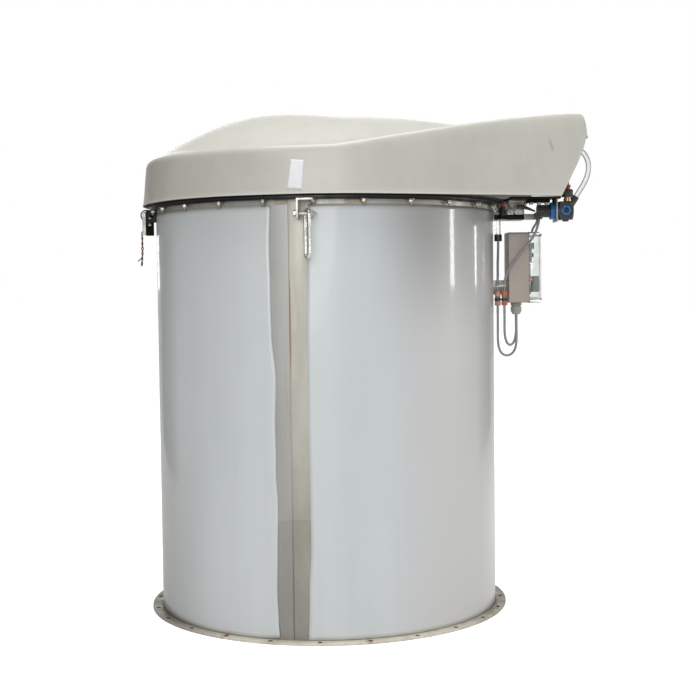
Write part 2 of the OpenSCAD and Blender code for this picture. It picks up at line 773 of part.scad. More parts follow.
body_shell();
base_flange();
top_flange();
tube_sheet();
rim_gasket();
cartridge_media();
cartridge_collars();
cartridge_caps();
hood();
hood_frame();
air_tank();
tank_brackets();
hinge_plate();
hinge_arms();
hinge_bracket();
hinge_pin();
lug_front();
lug_back();
lug_pin_front();
lug_pin_back();
link_front();
link_back();
latch_bracket();
latch_lug();
tie_wire();
box_bracket();
box_base();
box_lid();
box_board();
box_gland();
line_clip();
clear_sleeve();
sleeve_reducer();
line_unions();
line_left();
line_right();
line_top();
regulator_plate();
regulator_body();
regulator_ring();
regulator_knob();
regulator_port();
tube_elbow();
elbow_ring();
air_tube();
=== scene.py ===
import math

import bmesh
import bpy
from mathutils import Matrix, Vector, noise


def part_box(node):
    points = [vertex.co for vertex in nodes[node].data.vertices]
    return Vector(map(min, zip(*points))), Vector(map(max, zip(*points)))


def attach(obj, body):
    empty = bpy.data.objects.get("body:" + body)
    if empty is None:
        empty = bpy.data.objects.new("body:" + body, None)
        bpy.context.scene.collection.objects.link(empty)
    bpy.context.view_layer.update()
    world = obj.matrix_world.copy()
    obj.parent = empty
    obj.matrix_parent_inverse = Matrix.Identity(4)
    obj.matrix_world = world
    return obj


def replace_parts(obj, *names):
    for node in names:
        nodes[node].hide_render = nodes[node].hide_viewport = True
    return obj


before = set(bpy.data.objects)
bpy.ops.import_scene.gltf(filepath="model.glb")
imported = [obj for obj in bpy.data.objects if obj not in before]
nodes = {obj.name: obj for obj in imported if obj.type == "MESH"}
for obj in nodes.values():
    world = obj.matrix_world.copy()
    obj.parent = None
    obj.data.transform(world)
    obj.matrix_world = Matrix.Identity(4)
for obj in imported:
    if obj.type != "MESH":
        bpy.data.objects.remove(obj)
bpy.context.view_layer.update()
scene = bpy.context.scene
scene.view_settings.view_transform = "Standard"
print("frame loaded:", len(nodes), "nodes")


def srgb(red, green, blue):
    linear = []
    for value in (red, green, blue):
        share = value / 255
        linear.append(share / 12.92 if share <= 0.04045 else ((share + 0.055) / 1.055) ** 2.4)
    return (*linear, 1.0)


def circle(radius, sides, phase=0.0):
    turns = [phase + 2 * math.pi * k / sides for k in range(sides)]
    return [(radius * math.cos(turn), radius * math.sin(turn)) for turn in turns]


# camera

photoCamera = dict(place=(0, -3.1217, 0.7569), pitch=-0.0476, roll=-0.0120, yaw=0.0165, lens=67.03, sensor=36)


def makeCamera(spec):
    pitch, roll, yaw = spec["pitch"], spec["roll"], spec["yaw"]
    ahead = Vector((math.sin(yaw) * math.cos(pitch), math.cos(yaw) * math.cos(pitch), math.sin(pitch)))
    level = Vector((math.cos(yaw), -math.sin(yaw), 0))
    above = level.cross(ahead)
    right = level * math.cos(roll) + above * math.sin(roll)
    up = above * math.cos(roll) - level * math.sin(roll)
    data = bpy.data.cameras.new("photoCamera")
    data.lens = spec["lens"]
    data.sensor_width = spec["sensor"]
    data.clip_end = 60
    eye = bpy.data.objects.new("photoCamera", data)
    turn = Matrix((right, up, -ahead)).transposed().to_4x4()
    eye.matrix_world = Matrix.Translation(spec["place"]) @ turn
    scene.collection.objects.link(eye)
    scene.camera = eye


makeCamera(photoCamera)


# short ways to set up nodes

def feed(tree, socket, value):
    if isinstance(value, bpy.types.NodeSocket):
        tree.links.new(value, socket)
    else:
        socket.default_value = value


def addNode(tree, kind, values=None, **settings):
    node = tree.nodes.new(kind)
    for key, value in settings.items():
        setattr(node, key, value)
    for key, value in (values or {}).items():
        feed(tree, node.inputs[key], value)
    return node


def calc(tree, operation, first, second=0.0, clamp=False):
    node = addNode(tree, "ShaderNodeMath", operation=operation, use_clamp=clamp)
    feed(tree, node.inputs[0], first)
    feed(tree, node.inputs[1], second)
    return node.outputs[0]


def times(tree, first, second):
    return calc(tree, "MULTIPLY", first, second)


def plus(tree, first, second):
    return calc(tree, "ADD", first, second)


def minus(tree, first, second):
    return calc(tree, "SUBTRACT", first, second)


def offBy(tree, value, centre=0.0):  # distance from centre, either way
    return calc(tree, "ABSOLUTE", minus(tree, value, centre))


def span(tree, value, low, high):  # smooth 0 to 1 between low and high
    node = addNode(tree, "ShaderNodeMapRange", {"Value": value, "From Min": low, "From Max": high},
                   interpolation_type="SMOOTHSTEP")
    return node.outputs[0]


def falling(tree, value, low, high):  # smooth 1 to 0 between low and high
    return minus(tree, 1.0, span(tree, value, low, high))


def mixColor(tree, factor, first, second):
    node = addNode(tree, "ShaderNodeMix", data_type="RGBA")
    feed(tree, node.inputs[0], factor)
    feed(tree, node.inputs[6], first)
    feed(tree, node.inputs[7], second)
    return node.outputs[2]


def stain(tree, color, tone, mask, amount):
    return mixColor(tree, times(tree, mask, amount), color, tone)


def startMaterial(name):
    mat = bpy.data.materials.new(name)
    mat.use_nodes = True
    return mat, mat.node_tree, mat.node_tree.nodes["Principled BSDF"]


def setShader(bsdf, values):
    for key, value in values.items():
        bsdf.inputs[key].default_value = value


# lamps, floor and cards

studio = dict(
    ambient=0.38, mirrored=0.55, floorReach=30, floorColor=(0.55, 0.55, 0.55, 1), floorLift=0.95,
    lamps=(  # one size makes a disk, two a rectangle
        dict(name="frontSoft", place=(-0.5, -4.2, 1.8), aim=(0, 0, 0.7), size=2.6, watts=64),
        dict(name="topSoft", place=(0.35, -0.4, 4.6), aim=(0, 0, 0.9), size=3.4, watts=134),
        dict(name="sideStrip", place=(3.3, -0.14, 1.00), aim=(0.3, 0, 0.85), size=(0.20, 0.5), watts=9),
        dict(name="rearStrip", place=(2.9, 1.3, 1.00), aim=(0.2, 0, 0.85), size=(0.12, 0.5), watts=4),
        dict(name="edgeStrip", place=(-1.85, 3.5, 1.0), aim=(-0.4, 0, 0.85), size=(0.6, 0.5), watts=4),
        dict(name="rearPanel", place=(0.0, 5.0, 2.35), aim=(0, 0, 1.1), size=(3.4, 0.9), watts=38),
    ),
    cards=(
        dict(name="hoodCard", x=-1.9, front=-2.6, back=2.7, low=0.95, high=2.4),
        dict(name="leftCard", x=-2.1, front=0.9, back=2.9, low=0.0, high=0.95),
        dict(name="rightCard", x=2.5, front=1.3, back=3.4, low=0.0, high=1.0),
    ),
    cardColor=srgb(104, 99, 89), dullRough=0.9,
    holeShade=dict(inner=0.404, outer=0.4225, z=0.0004, sides=96, color=srgb(46, 42, 38)),
)


def addLamp(spec):
    data = bpy.data.lights.new(spec["name"], "AREA")
    data.energy = spec["watts"]
    if isinstance(spec["size"], tuple):
        data.shape = "RECTANGLE"
        data.size, data.size_y = spec["size"]
    else:
        data.shape = "DISK"
        data.size = spec["size"]
    lamp = bpy.data.objects.new(spec["name"], data)
    lamp.location = spec["place"]
    facing = Vector(spec["aim"]) - Vector(spec["place"])
    lamp.rotation_euler = facing.to_track_quat("-Z", "Y").to_euler()
    lamp.visible_camera = False
    scene.collection.objects.link(lamp)


def studioSight(tree):  # white to the eye, dimmer in reflections
    paths = addNode(tree, "ShaderNodeLightPath").outputs
    seen = calc(tree, "MAXIMUM", paths["Is Camera Ray"], paths["Is Transmission Ray"])
    return calc(tree, "MAXIMUM", seen, times(tree, paths["Is Glossy Ray"], studio["mirrored"]))


def lightWorld():
    world = bpy.data.worlds.new("paleStudio")
    world.use_nodes = True
    scene.world = world
    tree = world.node_tree
    tree.nodes.clear()
    strength = calc(tree, "MAXIMUM", studioSight(tree), studio["ambient"])
    fill = addNode(tree, "ShaderNodeBackground", {"Color": (1, 1, 1, 1), "Strength": strength})
    out = addNode(tree, "ShaderNodeOutputWorld")
    tree.links.new(fill.outputs[0], out.inputs[0])


def setScenery(name, spots, faces, mat, seen=True):  # stands round the part and is no piece of it
    mesh = bpy.data.meshes.new(name)
    mesh.from_pydata(spots, [], faces)
    mesh.materials.append(mat)
    thing = bpy.data.objects.new(name, mesh)
    thing.visible_camera = seen
    scene.collection.objects.link(thing)


def dullPaint(name, color):
    mat, tree, bsdf = startMaterial(name)
    setShader(bsdf, {"Base Color": color, "Roughness": studio["dullRough"]})
    return mat


def layFloor():
    mat, tree, bsdf = startMaterial("paleFloor")
    tree.nodes.clear()
    glowing = times(tree, studioSight(tree), studio["floorLift"])
    paint = addNode(tree, "ShaderNodeBsdfDiffuse", {"Color": studio["floorColor"]})
    glow = addNode(tree, "ShaderNodeEmission", {"Strength": glowing})
    both = addNode(tree, "ShaderNodeAddShader")
    out = addNode(tree, "ShaderNodeOutputMaterial")
    tree.links.new(paint.outputs[0], both.inputs[0])
    tree.links.new(glow.outputs[0], both.inputs[1])
    tree.links.new(both.outputs[0], out.inputs[0])
    reach = studio["floorReach"]
    corners = [(-reach, -reach, 0), (reach, -reach, 0), (reach, reach, 0), (-reach, reach, 0)]
    setScenery("paleFloor", corners, [(0, 1, 2, 3)], mat)


def hangCards():  # dull cards beside the part, out of the picture, that shade its sides
    paint = dullPaint("shadeCard", studio["cardColor"])
    for spec in studio["cards"]:
        x, front, back, low, high = (spec[key] for key in ("x", "front", "back", "low", "high"))
        corners = [(x, front, low), (x, back, low), (x, back, high), (x, front, high)]
        setScenery(spec["name"], corners, [(0, 1, 2, 3)], paint, seen=False)


def shadeHoles():  # dark ring on the floor, seen only through the flange holes
    spec = studio["holeShade"]
    sides = spec["sides"]
    spots = [(x, y, spec["z"]) for radius in (spec["inner"], spec["outer"]) for x, y in circle(radius, sides)]
    faces = [(k, (k + 1) % sides, sides + (k + 1) % sides, sides + k) for k in range(sides)]
    setScenery("holeShade", spots, faces, dullPaint("holeShade", spec["color"]))


for lampSpec in studio["lamps"]:
    addLamp(lampSpec)
lightWorld()
layFloor()
hangCards()
shadeHoles()
print("camera, lamps and floor set")


# shared surface effects as node groups

def newGroup(name, inputs, outputs):
    tree = bpy.data.node_groups.new(name, "ShaderNodeTree")
    for label, kind, value in inputs:
        socket = tree.interface.new_socket(name=label, in_out="INPUT", socket_type="NodeSocket" + kind)
        socket.default_value = value
    for label, kind in outputs:
        tree.interface.new_socket(name=label, in_out="OUTPUT", socket_type="NodeSocket" + kind)
    return tree, tree.nodes.new("NodeGroupInput").outputs, tree.nodes.new("NodeGroupOutput").inputs


def objectPlace(tree):
    return addNode(tree, "ShaderNodeTexCoord").outputs["Object"]


def stretchedPlace(tree, stretch):
    scaled = addNode(tree, "ShaderNodeVectorMath", operation="MULTIPLY")
    feed(tree, scaled.inputs[0], objectPlace(tree))
    feed(tree, scaled.inputs[1], stretch)
    return scaled.outputs[0]


def parted(tree, vector):  # its X, Y and Z
    return addNode(tree, "ShaderNodeSeparateXYZ", {"Vector": vector}).outputs


def surfaceNormal(tree):
    return addNode(tree, "ShaderNodeNewGeometry").outputs["Normal"]


def noiseField(tree, place, scale, detail, rough=0.5):
    values = {"Vector": place, "Scale": scale, "Detail": detail, "Roughness": rough}
    return addNode(tree, "ShaderNodeTexNoise", values).outputs["Fac"]


def putOut(tree, made, mask, color, other):  # the masked mix, and the mask by itself
    feed(tree, made["Color"], mixColor(tree, mask, color, other))
    feed(tree, made["Mask"], mask)


mixOut = [("Color", "Color"), ("Mask", "Float")]
baseIn = ("Color", "Color", (0.5, 0.5, 0.5, 1))


def cloudGroup():  # slow colour drift over a surface
    tree, given, made = newGroup(
        "cloudyTint", [baseIn, ("Tint", "Color", (0.3, 0.3, 0.3, 1)), ("Scale", "Float", 8.0),
                       ("Amount", "Float", 0.5), ("Stretch", "Vector", (1, 1, 1))], mixOut)
    field = noiseField(tree, stretchedPlace(tree, given["Stretch"]), given["Scale"], 6.0, 0.62)
    mask = span(tree, field, 0.36, 0.68)
    feed(tree, made["Color"], stain(tree, given["Color"], given["Tint"], mask, given["Amount"]))
    feed(tree, made["Mask"], mask)
    return tree


def grainGroup():  # fine relief for the bump
    tree, given, made = newGroup(
        "fineGrain", [("Scale", "Float", 400.0), ("Stretch", "Vector", (1, 1, 1)), ("Waves", "Float", 0.0)],
        [("Height", "Float")])
    place = stretchedPlace(tree, given["Stretch"])
    fine = noiseField(tree, place, given["Scale"], 3.0)
    slow = noiseField(tree, place, 7.0, 2.0)
    feed(tree, made["Height"], plus(tree, fine, times(tree, slow, given["Waves"])))
    return tree


def wearGroup():  # rubbed edges
    tree, given, made = newGroup(
        "edgeWear", [baseIn, ("Worn", "Color", (0.7, 0.7, 0.7, 1)), ("Radius", "Float", 0.001),
                     ("Amount", "Float", 0.6)], mixOut)
    soft = addNode(tree, "ShaderNodeBevel", {"Radius": given["Radius"]}, samples=4)
    agree = addNode(tree, "ShaderNodeVectorMath", operation="DOT_PRODUCT")
    feed(tree, agree.inputs[0], soft.outputs[0])
    feed(tree, agree.inputs[1], surfaceNormal(tree))
    edge = span(tree, minus(tree, 1.0, agree.outputs["Value"]), 0.01, 0.14)
    patch = noiseField(tree, objectPlace(tree), 160.0, 4.0)
    broken = times(tree, edge, span(tree, patch, 0.38, 0.62))
    mask = calc(tree, "MULTIPLY", broken, given["Amount"], clamp=True)
    putOut(tree, made, mask, given["Color"], given["Worn"])
    return tree


def dustGroup():  # dust that settles on what faces up
    tree, given, made = newGroup(
        "settledDust", [baseIn, ("Dust", "Color", (0.55, 0.52, 0.46, 1)), ("Amount", "Float", 0.3)], mixOut)
    upward = span(tree, parted(tree, surfaceNormal(tree))["Z"], 0.2, 0.95)
    speck = span(tree, noiseField(tree, objectPlace(tree), 24.0, 7.0, 0.7), 0.35, 0.75)
    share = times(tree, plus(tree, times(tree, upward, 0.7), 0.3), speck)
    mask = calc(tree, "MULTIPLY", share, given["Amount"], clamp=True)
    putOut(tree, made, mask, given["Color"], given["Dust"])
    return tree


def rustGroup():  # blooms of rust
    tree, given, made = newGroup(
        "rustBloom", [baseIn, ("Scale", "Float", 40.0), ("Spread", "Float", 0.5)], mixOut)
    place = objectPlace(tree)
    start = minus(tree, 0.86, times(tree, given["Spread"], 0.5))
    mask = span(tree, noiseField(tree, place, given["Scale"], 8.0, 0.7), start, plus(tree, start, 0.1))
    tone = noiseField(tree, place, 220.0, 5.0)
    rust = mixColor(tree, tone, srgb(92, 54, 34), srgb(158, 101, 62))
    putOut(tree, made, mask, given["Color"], rust)
    return tree


def polarGroup():  # bearing in degrees, height and distance from the body axis
    tree, given, made = newGroup("polarPlace", [],
                                 [(part, "Float") for part in ("Bearing", "Height", "Radius")])
    place = parted(tree, objectPlace(tree))
    angle = calc(tree, "ARCTAN2", place["Y"], place["X"])
    feed(tree, made["Bearing"], times(tree, angle, 180 / math.pi))
    feed(tree, made["Height"], place["Z"])
    squares = plus(tree, calc(tree, "POWER", place["X"], 2.0), calc(tree, "POWER", place["Y"], 2.0))
    feed(tree, made["Radius"], calc(tree, "SQRT", squares))
    return tree


groups = dict(cloud=cloudGroup(), grain=grainGroup(), wear=wearGroup(), dust=dustGroup(), rust=rustGroup(),
              polar=polarGroup())


def useGroup(tree, kind, values=None):
    node = tree.nodes.new("ShaderNodeGroup")
    node.node_tree = groups[kind]
    for key, value in (values or {}).items():
        feed(tree, node.inputs[key], value)
    return node.outputs


def clouded(tree, color, tint, scale, amount, stretch=(1, 1, 1)):
    return useGroup(tree, "cloud", {"Color": color, "Tint": tint, "Scale": scale, "Amount": amount,
                                    "Stretch": stretch})


def roughFrom(tree, bsdf, mask, low, high):
    node = addNode(tree, "ShaderNodeMapRange", {"Value": mask, "To Min": low, "To Max": high})
    feed(tree, bsdf.inputs["Roughness"], node.outputs[0])


def addRelief(tree, bsdf, strength, depth, scale, stretch=(1, 1, 1), waves=0.0):
    height = useGroup(tree, "grain", {"Scale": scale, "Stretch": stretch, "Waves": waves})["Height"]
    bump = addNode(tree, "ShaderNodeBump", {"Strength": strength, "Distance": depth, "Height": height})
    feed(tree, bsdf.inputs["Normal"], bump.outputs[0])


print("node groups made:", len(groups))


# plain finishes: colour, tint and roughness range, with what each one has on top

def plainFinish(name, base, tint, rough, cloudScale, metal=0.0, grain=0.15, grainScale=500.0, worn=None,
                wear=0.5, dust=0.0, rust=0.0, gloss=0.5):
    mat, tree, bsdf = startMaterial(name)
    drift = clouded(tree, srgb(*base), srgb(*tint), cloudScale, 0.5)
    color = drift["Color"]
    if rust:
        color = useGroup(tree, "rust", {"Color": color, "Spread": rust})["Color"]
    if worn:
        color = useGroup(tree, "wear", {"Color": color, "Worn": srgb(*worn), "Amount": wear})["Color"]
    if dust:
        color = useGroup(tree, "dust", {"Color": color, "Amount": dust})["Color"]
    feed(tree, bsdf.inputs["Base Color"], color)
    roughFrom(tree, bsdf, drift["Mask"], *rough)
    addRelief(tree, bsdf, grain, 0.0006, grainScale)
    setShader(bsdf, {"Metallic": metal, "Specular IOR Level": gloss})
    return mat


finishes = dict(
    zinc=plainFinish("zincPlate", (196, 194, 186), (138, 135, 126), (0.28, 0.48), 60, metal=0.85, grain=0.12,
                     worn=(225, 224, 220), rust=0.12, dust=0.12),
    boltSteel=plainFinish("boltSteel", (168, 165, 152), (84, 80, 70), (0.25, 0.45), 120, metal=0.85,
                          grain=0.1,
                          rust=0.15, dust=0.1),
    bright=plainFinish("brightBar", (214, 214, 208), (150, 148, 142), (0.14, 0.3), 80, metal=1.0, grain=0.08),
    bracketSteel=plainFinish("bracketSteel", (188, 184, 170), (140, 134, 120), (0.34, 0.55), 40, metal=0.6,
                             grain=0.2, worn=(220, 218, 210), rust=0.25, dust=0.2),
    tankSteel=plainFinish("tankSteel", (176, 178, 178), (140, 142, 142), (0.35, 0.55), 30, metal=0.7,
                          dust=0.25),
    blackSteel=plainFinish("blackSteel", (15, 14, 14), (32, 29, 26), (0.4, 0.65), 40, worn=(72, 68, 62),
                           dust=0.03, rust=0.08, gloss=0.2),
    rubber=plainFinish("blackRubber", (9, 9, 9), (18, 17, 16), (0.6, 0.85), 60, grain=0.3, dust=0.02,
                       gloss=0.15),
    blackPlastic=plainFinish("blackPlastic", (38, 39, 41), (54, 55, 57), (0.32, 0.5), 70, grain=0.2,
                             grainScale=900, worn=(90, 90, 92), dust=0.1),
    bluePlastic=plainFinish("bluePlastic", (28, 124, 200), (20, 100, 174), (0.25, 0.4), 60, grain=0.1,
                            worn=(90, 150, 205), wear=0.4),
    redPlastic=plainFinish("redPlastic", (196, 70, 44), (160, 56, 40), (0.3, 0.45), 80, grain=0.1),
    orangePlastic=plainFinish("orangePlastic", (206, 112, 66), (170, 88, 54), (0.3, 0.45), 90, grain=0.1),
    peachPlastic=plainFinish("peachPlastic", (214, 160, 124), (186, 126, 92), (0.35, 0.5), 90, grain=0.1),
    collet=plainFinish("colletBrown", (176, 84, 66), (132, 66, 54), (0.35, 0.5), 90, grain=0.1),
    brass=plainFinish("brassNeck", (190, 158, 112), (150, 118, 78), (0.25, 0.45), 80, metal=0.9),
    boxPlastic=plainFinish("boxPlastic", (182, 171, 161), (168, 157, 148), (0.4, 0.55), 9, grain=0.25,
                           grainScale=1200, dust=0.12),
    glandPlastic=plainFinish("glandPlastic", (172, 172, 166), (146, 146, 140), (0.38, 0.55), 40, grain=0.2,
                             dust=0.15),
    cable=plainFinish("cableJacket", (160, 157, 162), (120, 115, 122), (0.25, 0.4), 60, grain=0.1,
                      grainScale=700),
    cordBlack=plainFinish("cordBlack", (30, 29, 28), (50, 46, 42), (0.5, 0.7), 70, grain=0.3),
    tieWhite=plainFinish("tieWhite", (226, 224, 216), (200, 198, 190), (0.35, 0.5), 90, grain=0.1),
    wire=plainFinish("rustyWire", (122, 98, 82), (84, 60, 46), (0.5, 0.75), 120, metal=0.3, grain=0.4,
                     rust=0.6),
    felt=plainFinish("filterFelt", (228, 224, 212), (204, 198, 184), (0.85, 0.95), 18, grain=0.6,
                     grainScale=900,
                     dust=0.2),
    collar=plainFinish("collarBlack", (30, 30, 31), (46, 45, 44), (0.5, 0.7), 40, grain=0.25, dust=0.2),
    board=plainFinish("boardGreen", (52, 84, 70), (38, 66, 56), (0.35, 0.5), 120, grain=0.2),
    label=plainFinish("labelWhite", (236, 236, 240), (226, 226, 230), (0.35, 0.45), 30, grain=0.05),
    tape=plainFinish("tornTape", (186, 172, 158), (156, 128, 106), (0.5, 0.7), 90, grain=0.3, rust=0.4),
    panel=plainFinish("panelWhite", (224, 226, 224), (204, 206, 204), (0.35, 0.5), 60, grain=0.1),
    terminal=plainFinish("terminalGrey", (128, 132, 130), (104, 108, 106), (0.4, 0.55), 80, grain=0.2),
)


# finishes that follow the part's own places

clearPlastic = dict(tone=srgb(244, 247, 246), haze=srgb(232, 232, 226), rough=(0.03, 0.12), bend=1.46)


def clearFinish():
    mat, tree, bsdf = startMaterial("clearPlastic")
    haze = clouded(tree, clearPlastic["tone"], clearPlastic["haze"], 50.0, 0.6)
    feed(tree, bsdf.inputs["Base Color"], haze["Color"])
    roughFrom(tree, bsdf, haze["Mask"], *clearPlastic["rough"])
    setShader(bsdf, {"Transmission Weight": 1.0, "IOR": clearPlastic["bend"]})
    return mat


clearHose = dict(tone=srgb(236, 239, 238), edge=srgb(74, 76, 76), body=0.08, rim=(0.25, 0.62), rimBody=0.95,
                 rough=(0.12, 0.25), bend=1.4)


def hoseFinish():  # thin clear wall, greyer towards its edges
    mat, tree, bsdf = startMaterial("clearHose")
    haze = clouded(tree, clearHose["tone"], clearHose["edge"], 40.0, 0.25)
    turned = addNode(tree, "ShaderNodeLayerWeight", {"Blend": 0.5}).outputs["Facing"]
    rim = span(tree, turned, *clearHose["rim"])
    feed(tree, bsdf.inputs["Base Color"], mixColor(tree, rim, haze["Color"], clearHose["edge"]))
    thicker = times(tree, rim, clearHose["rimBody"] - clearHose["body"])
    feed(tree, bsdf.inputs["Alpha"], plus(tree, clearHose["body"], thicker))
    roughFrom(tree, bsdf, haze["Mask"], *clearHose["rough"])
    setShader(bsdf, {"IOR": clearHose["bend"]})
    return mat


gelcoat = dict(
    base=srgb(199, 198, 189), shade=srgb(186, 185, 174), rimTone=srgb(214, 213, 205),
    grime=srgb(150, 142, 124),
    dust=srgb(200, 198, 190), sealAndUnderShade=srgb(14, 13, 13), specks=0.15, rimBand=(0.9515, 0.9545),
    sealShadeBand=(0.9525, 0.9540), rough=(0.36, 0.48),
    dentShade=dict(x=0.498, z=1.060, lean=(0.333, 0.943), length=(0.005, 0.021), width=(0.001, 0.006),
               depth=0.45),
)


def dentShadeMark(tree):  # painted shade of one slanted dent on the front wall near the beak
    spec = gelcoat["dentShade"]
    sideways, downwards = spec["lean"]
    place = parted(tree, objectPlace(tree))
    fromX = minus(tree, place["X"], spec["x"])
    fromZ = minus(tree, place["Z"], spec["z"])
    lengthwise = minus(tree, times(tree, fromX, sideways), times(tree, fromZ, downwards))
    across = plus(tree, times(tree, fromX, downwards), times(tree, fromZ, sideways))
    mark = times(tree, falling(tree, offBy(tree, lengthwise), *spec["length"]),
                 falling(tree, offBy(tree, across), *spec["width"]))
    return times(tree, mark, span(tree, place["Y"], 0.0, -0.1))


def gelcoatFinish():
    mat, tree, bsdf = startMaterial("hoodGelcoat")
    height = useGroup(tree, "polar")["Height"]
    drift = clouded(tree, gelcoat["base"], gelcoat["shade"], 5.0, 0.7)
    runs = clouded(tree, drift["Color"], gelcoat["grime"], 16.0, 0.07, (1, 1, 0.3))
    specks = useGroup(tree, "rust", {"Color": runs["Color"], "Scale": 60.0, "Spread": 0.14})
    color = mixColor(tree, gelcoat["specks"], runs["Color"], specks["Color"])
    # painted shade where the front wall is dented
    color = stain(tree, color, gelcoat["grime"], dentShadeMark(tree), gelcoat["dentShade"]["depth"])
    color = stain(tree, color, gelcoat["rimTone"], falling(tree, height, *gelcoat["rimBand"]), 0.7)
    color = useGroup(tree, "dust", {"Color": color, "Dust": gelcoat["dust"], "Amount": 0.25})["Color"]
    # painted shade: faces turned down at the foot of the rim go near black, partly a black edge seal and
    # partly the shade under the overhang
    downward = times(tree, parted(tree, surfaceNormal(tree))["Z"], -1.0)
    underSealShade = times(tree, span(tree, downward, 0.35, 0.75), falling(tree, height, *gelcoat["sealShadeBand"]))
    feed(tree, bsdf.inputs["Base Color"], mixColor(tree, underSealShade, color, gelcoat["sealAndUnderShade"]))
    roughFrom(tree, bsdf, drift["Mask"], *gelcoat["rough"])
    addRelief(tree, bsdf, 0.08, 0.002, 180.0, waves=6.0)
    setShader(bsdf, {"Coat Weight": 0.15, "Coat Roughness": 0.22})
    return mat


seam = dict(
    bearing=-101.0, toneLine=0.261, heat=(0.58, 0.80), leftSteel=srgb(176, 176, 172),
    leftTint=srgb(156, 156, 152),
    rightSteel=srgb(186, 184, 174), rightTint=srgb(162, 159, 147), grime=srgb(112, 108, 98),
    smudge=srgb(112, 108, 100), dull=srgb(120, 116, 106), line=srgb(104, 102, 96),
    heatTint=srgb(150, 114, 84),
    # foot is the colour of the painted shadow along the lower part of the seam
    foot=srgb(84, 81, 75),
)


def bodySteelFinish():
    mat, tree, bsdf = startMaterial("bodySteel")
    place = useGroup(tree, "polar")
    height, bearing = place["Height"], place["Bearing"]
    left = clouded(tree, seam["leftSteel"], seam["leftTint"], 30.0, 0.7, (1, 1, 0.06))
    right = clouded(tree, seam["rightSteel"], seam["rightTint"], 18.0, 0.7, (1, 1, 0.2))
    toRight = span(tree, bearing, seam["bearing"] - 0.05, seam["bearing"] + 0.05)
    color = mixColor(tree, toRight, left["Color"], right["Color"])
    low = falling(tree, height, -0.05, 0.66)
    color = stain(tree, color, seam["grime"], low, 0.47)
    smudge = clouded(tree, color, seam["smudge"], 15.0, 0.45, (1, 1, 0.45))
    color = mixColor(tree, plus(tree, times(tree, low, 0.4), 0.2), color, smudge["Color"])
    below = falling(tree, height, seam["toneLine"] - 0.003, seam["toneLine"] + 0.003)
    color = stain(tree, color, seam["dull"], below, 0.22)
    onLine = falling(tree, offBy(tree, height, seam["toneLine"]), 0.0004, 0.0026)
    color = stain(tree, color, seam["line"], onLine, times(tree, smudge["Mask"], 0.5))
    nearSeam = falling(tree, offBy(tree, bearing, seam["bearing"]), 0.06, 0.38)
    start, stop = seam["heat"]
    hot = times(tree, span(tree, height, start - 0.04, start + 0.05),
                falling(tree, height, stop - 0.06, stop))
    color = stain(tree, color, seam["heatTint"], nearSeam, plus(tree, times(tree, hot, 0.8), 0.15))
    # painted shadow: a darker line along the lower part of the seam
    seamFootShadow = times(tree, nearSeam, falling(tree, height, 0.10, 0.40))
    feed(tree, bsdf.inputs["Base Color"], stain(tree, color, seam["foot"], seamFootShadow, 0.6))
    roughFrom(tree, bsdf, left["Mask"], 0.34, 0.52)
    addRelief(tree, bsdf, 0.1, 0.0005, 300.0, (1, 1, 0.05))
    setShader(bsdf, {"Metallic": 0.45})
    return mat


filmTone = dict(
    base=srgb(213, 218, 219), tint=srgb(205, 211, 213), streak=srgb(188, 192, 194), warm=srgb(210, 210, 208),
    # grime is the colour of the painted shade low on the left side of the film
    shade=srgb(120, 118, 115), grime=srgb(128, 129, 116), brink=srgb(152, 151, 138),
    warmFrom=(-76, -48), shadeFrom=(-82, -56), shadeHigh=(0.58, 0.93), backFade=(60, 150),
    sideShadeFrom=(126, 170),
    sideShadeLow=(0.12, 0.55), brinkHigh=(0.914, 0.930), rough=(0.36, 0.46),
)


def filmFinish():
    mat, tree, bsdf = startMaterial("paleFilm")
    drift = clouded(tree, filmTone["base"], filmTone["tint"], 3.0, 0.6, (1, 1, 0.5))
    streak = clouded(tree, drift["Color"], filmTone["streak"], 9.0, 0.2, (1, 1, 0.04))
    place = useGroup(tree, "polar")
    height, bearing = place["Height"], place["Bearing"]
    ahead = falling(tree, bearing, *filmTone["backFade"])
    warm = times(tree, span(tree, bearing, *filmTone["warmFrom"]), ahead)
    color = mixColor(tree, warm, streak["Color"], filmTone["warm"])
    shade = times(tree, span(tree, bearing, *filmTone["shadeFrom"]),
                  span(tree, height, *filmTone["shadeHigh"]))
    color = stain(tree, color, filmTone["shade"], times(tree, shade, ahead), 0.58)
    # painted shade: the film darkens on its left side, more towards the bottom
    aside = span(tree, offBy(tree, bearing), *filmTone["sideShadeFrom"])
    sideShade = times(tree, aside, falling(tree, height, *filmTone["sideShadeLow"]))
    color = stain(tree, color, filmTone["grime"], sideShade, 0.92)
    color = stain(tree, color, filmTone["brink"], span(tree, height, *filmTone["brinkHigh"]), 0.55)
    specks = useGroup(tree, "rust", {"Color": color, "Scale": 90.0, "Spread": 0.14})
    feed(tree, bsdf.inputs["Base Color"], mixColor(tree, 0.3, color, specks["Color"]))
    roughFrom(tree, bsdf, streak["Mask"], *filmTone["rough"])
    addRelief(tree, bsdf, 0.03, 0.001, 30.0, (1, 1, 0.12), 2.0)
    setShader(bsdf, {"Metallic": 0.05, "Coat Weight": 0.35, "Coat Roughness": 0.08})
    return mat


baseFlange = dict(
    steel=srgb(226, 220, 206), tint=srgb(202, 195, 180), worn=srgb(222, 218, 206), grime=srgb(106, 99, 86),
    # grime here is the colour of the painted shade as the flange turns away from the lit front
    rust=srgb(176, 124, 86), holes=srgb(44, 40, 36), litBearing=-84.0, sideShadeFrom=(30, 74),
    holeRing=(0.404, 0.422),
    # bearing, reach and depth of each rust spot
    spots=((-123.5, 1.3, 0.9), (-107.5, 3.4, 0.6), (-78.6, 1.3, 0.85), (-19.4, 1.4, 0.8)),
)


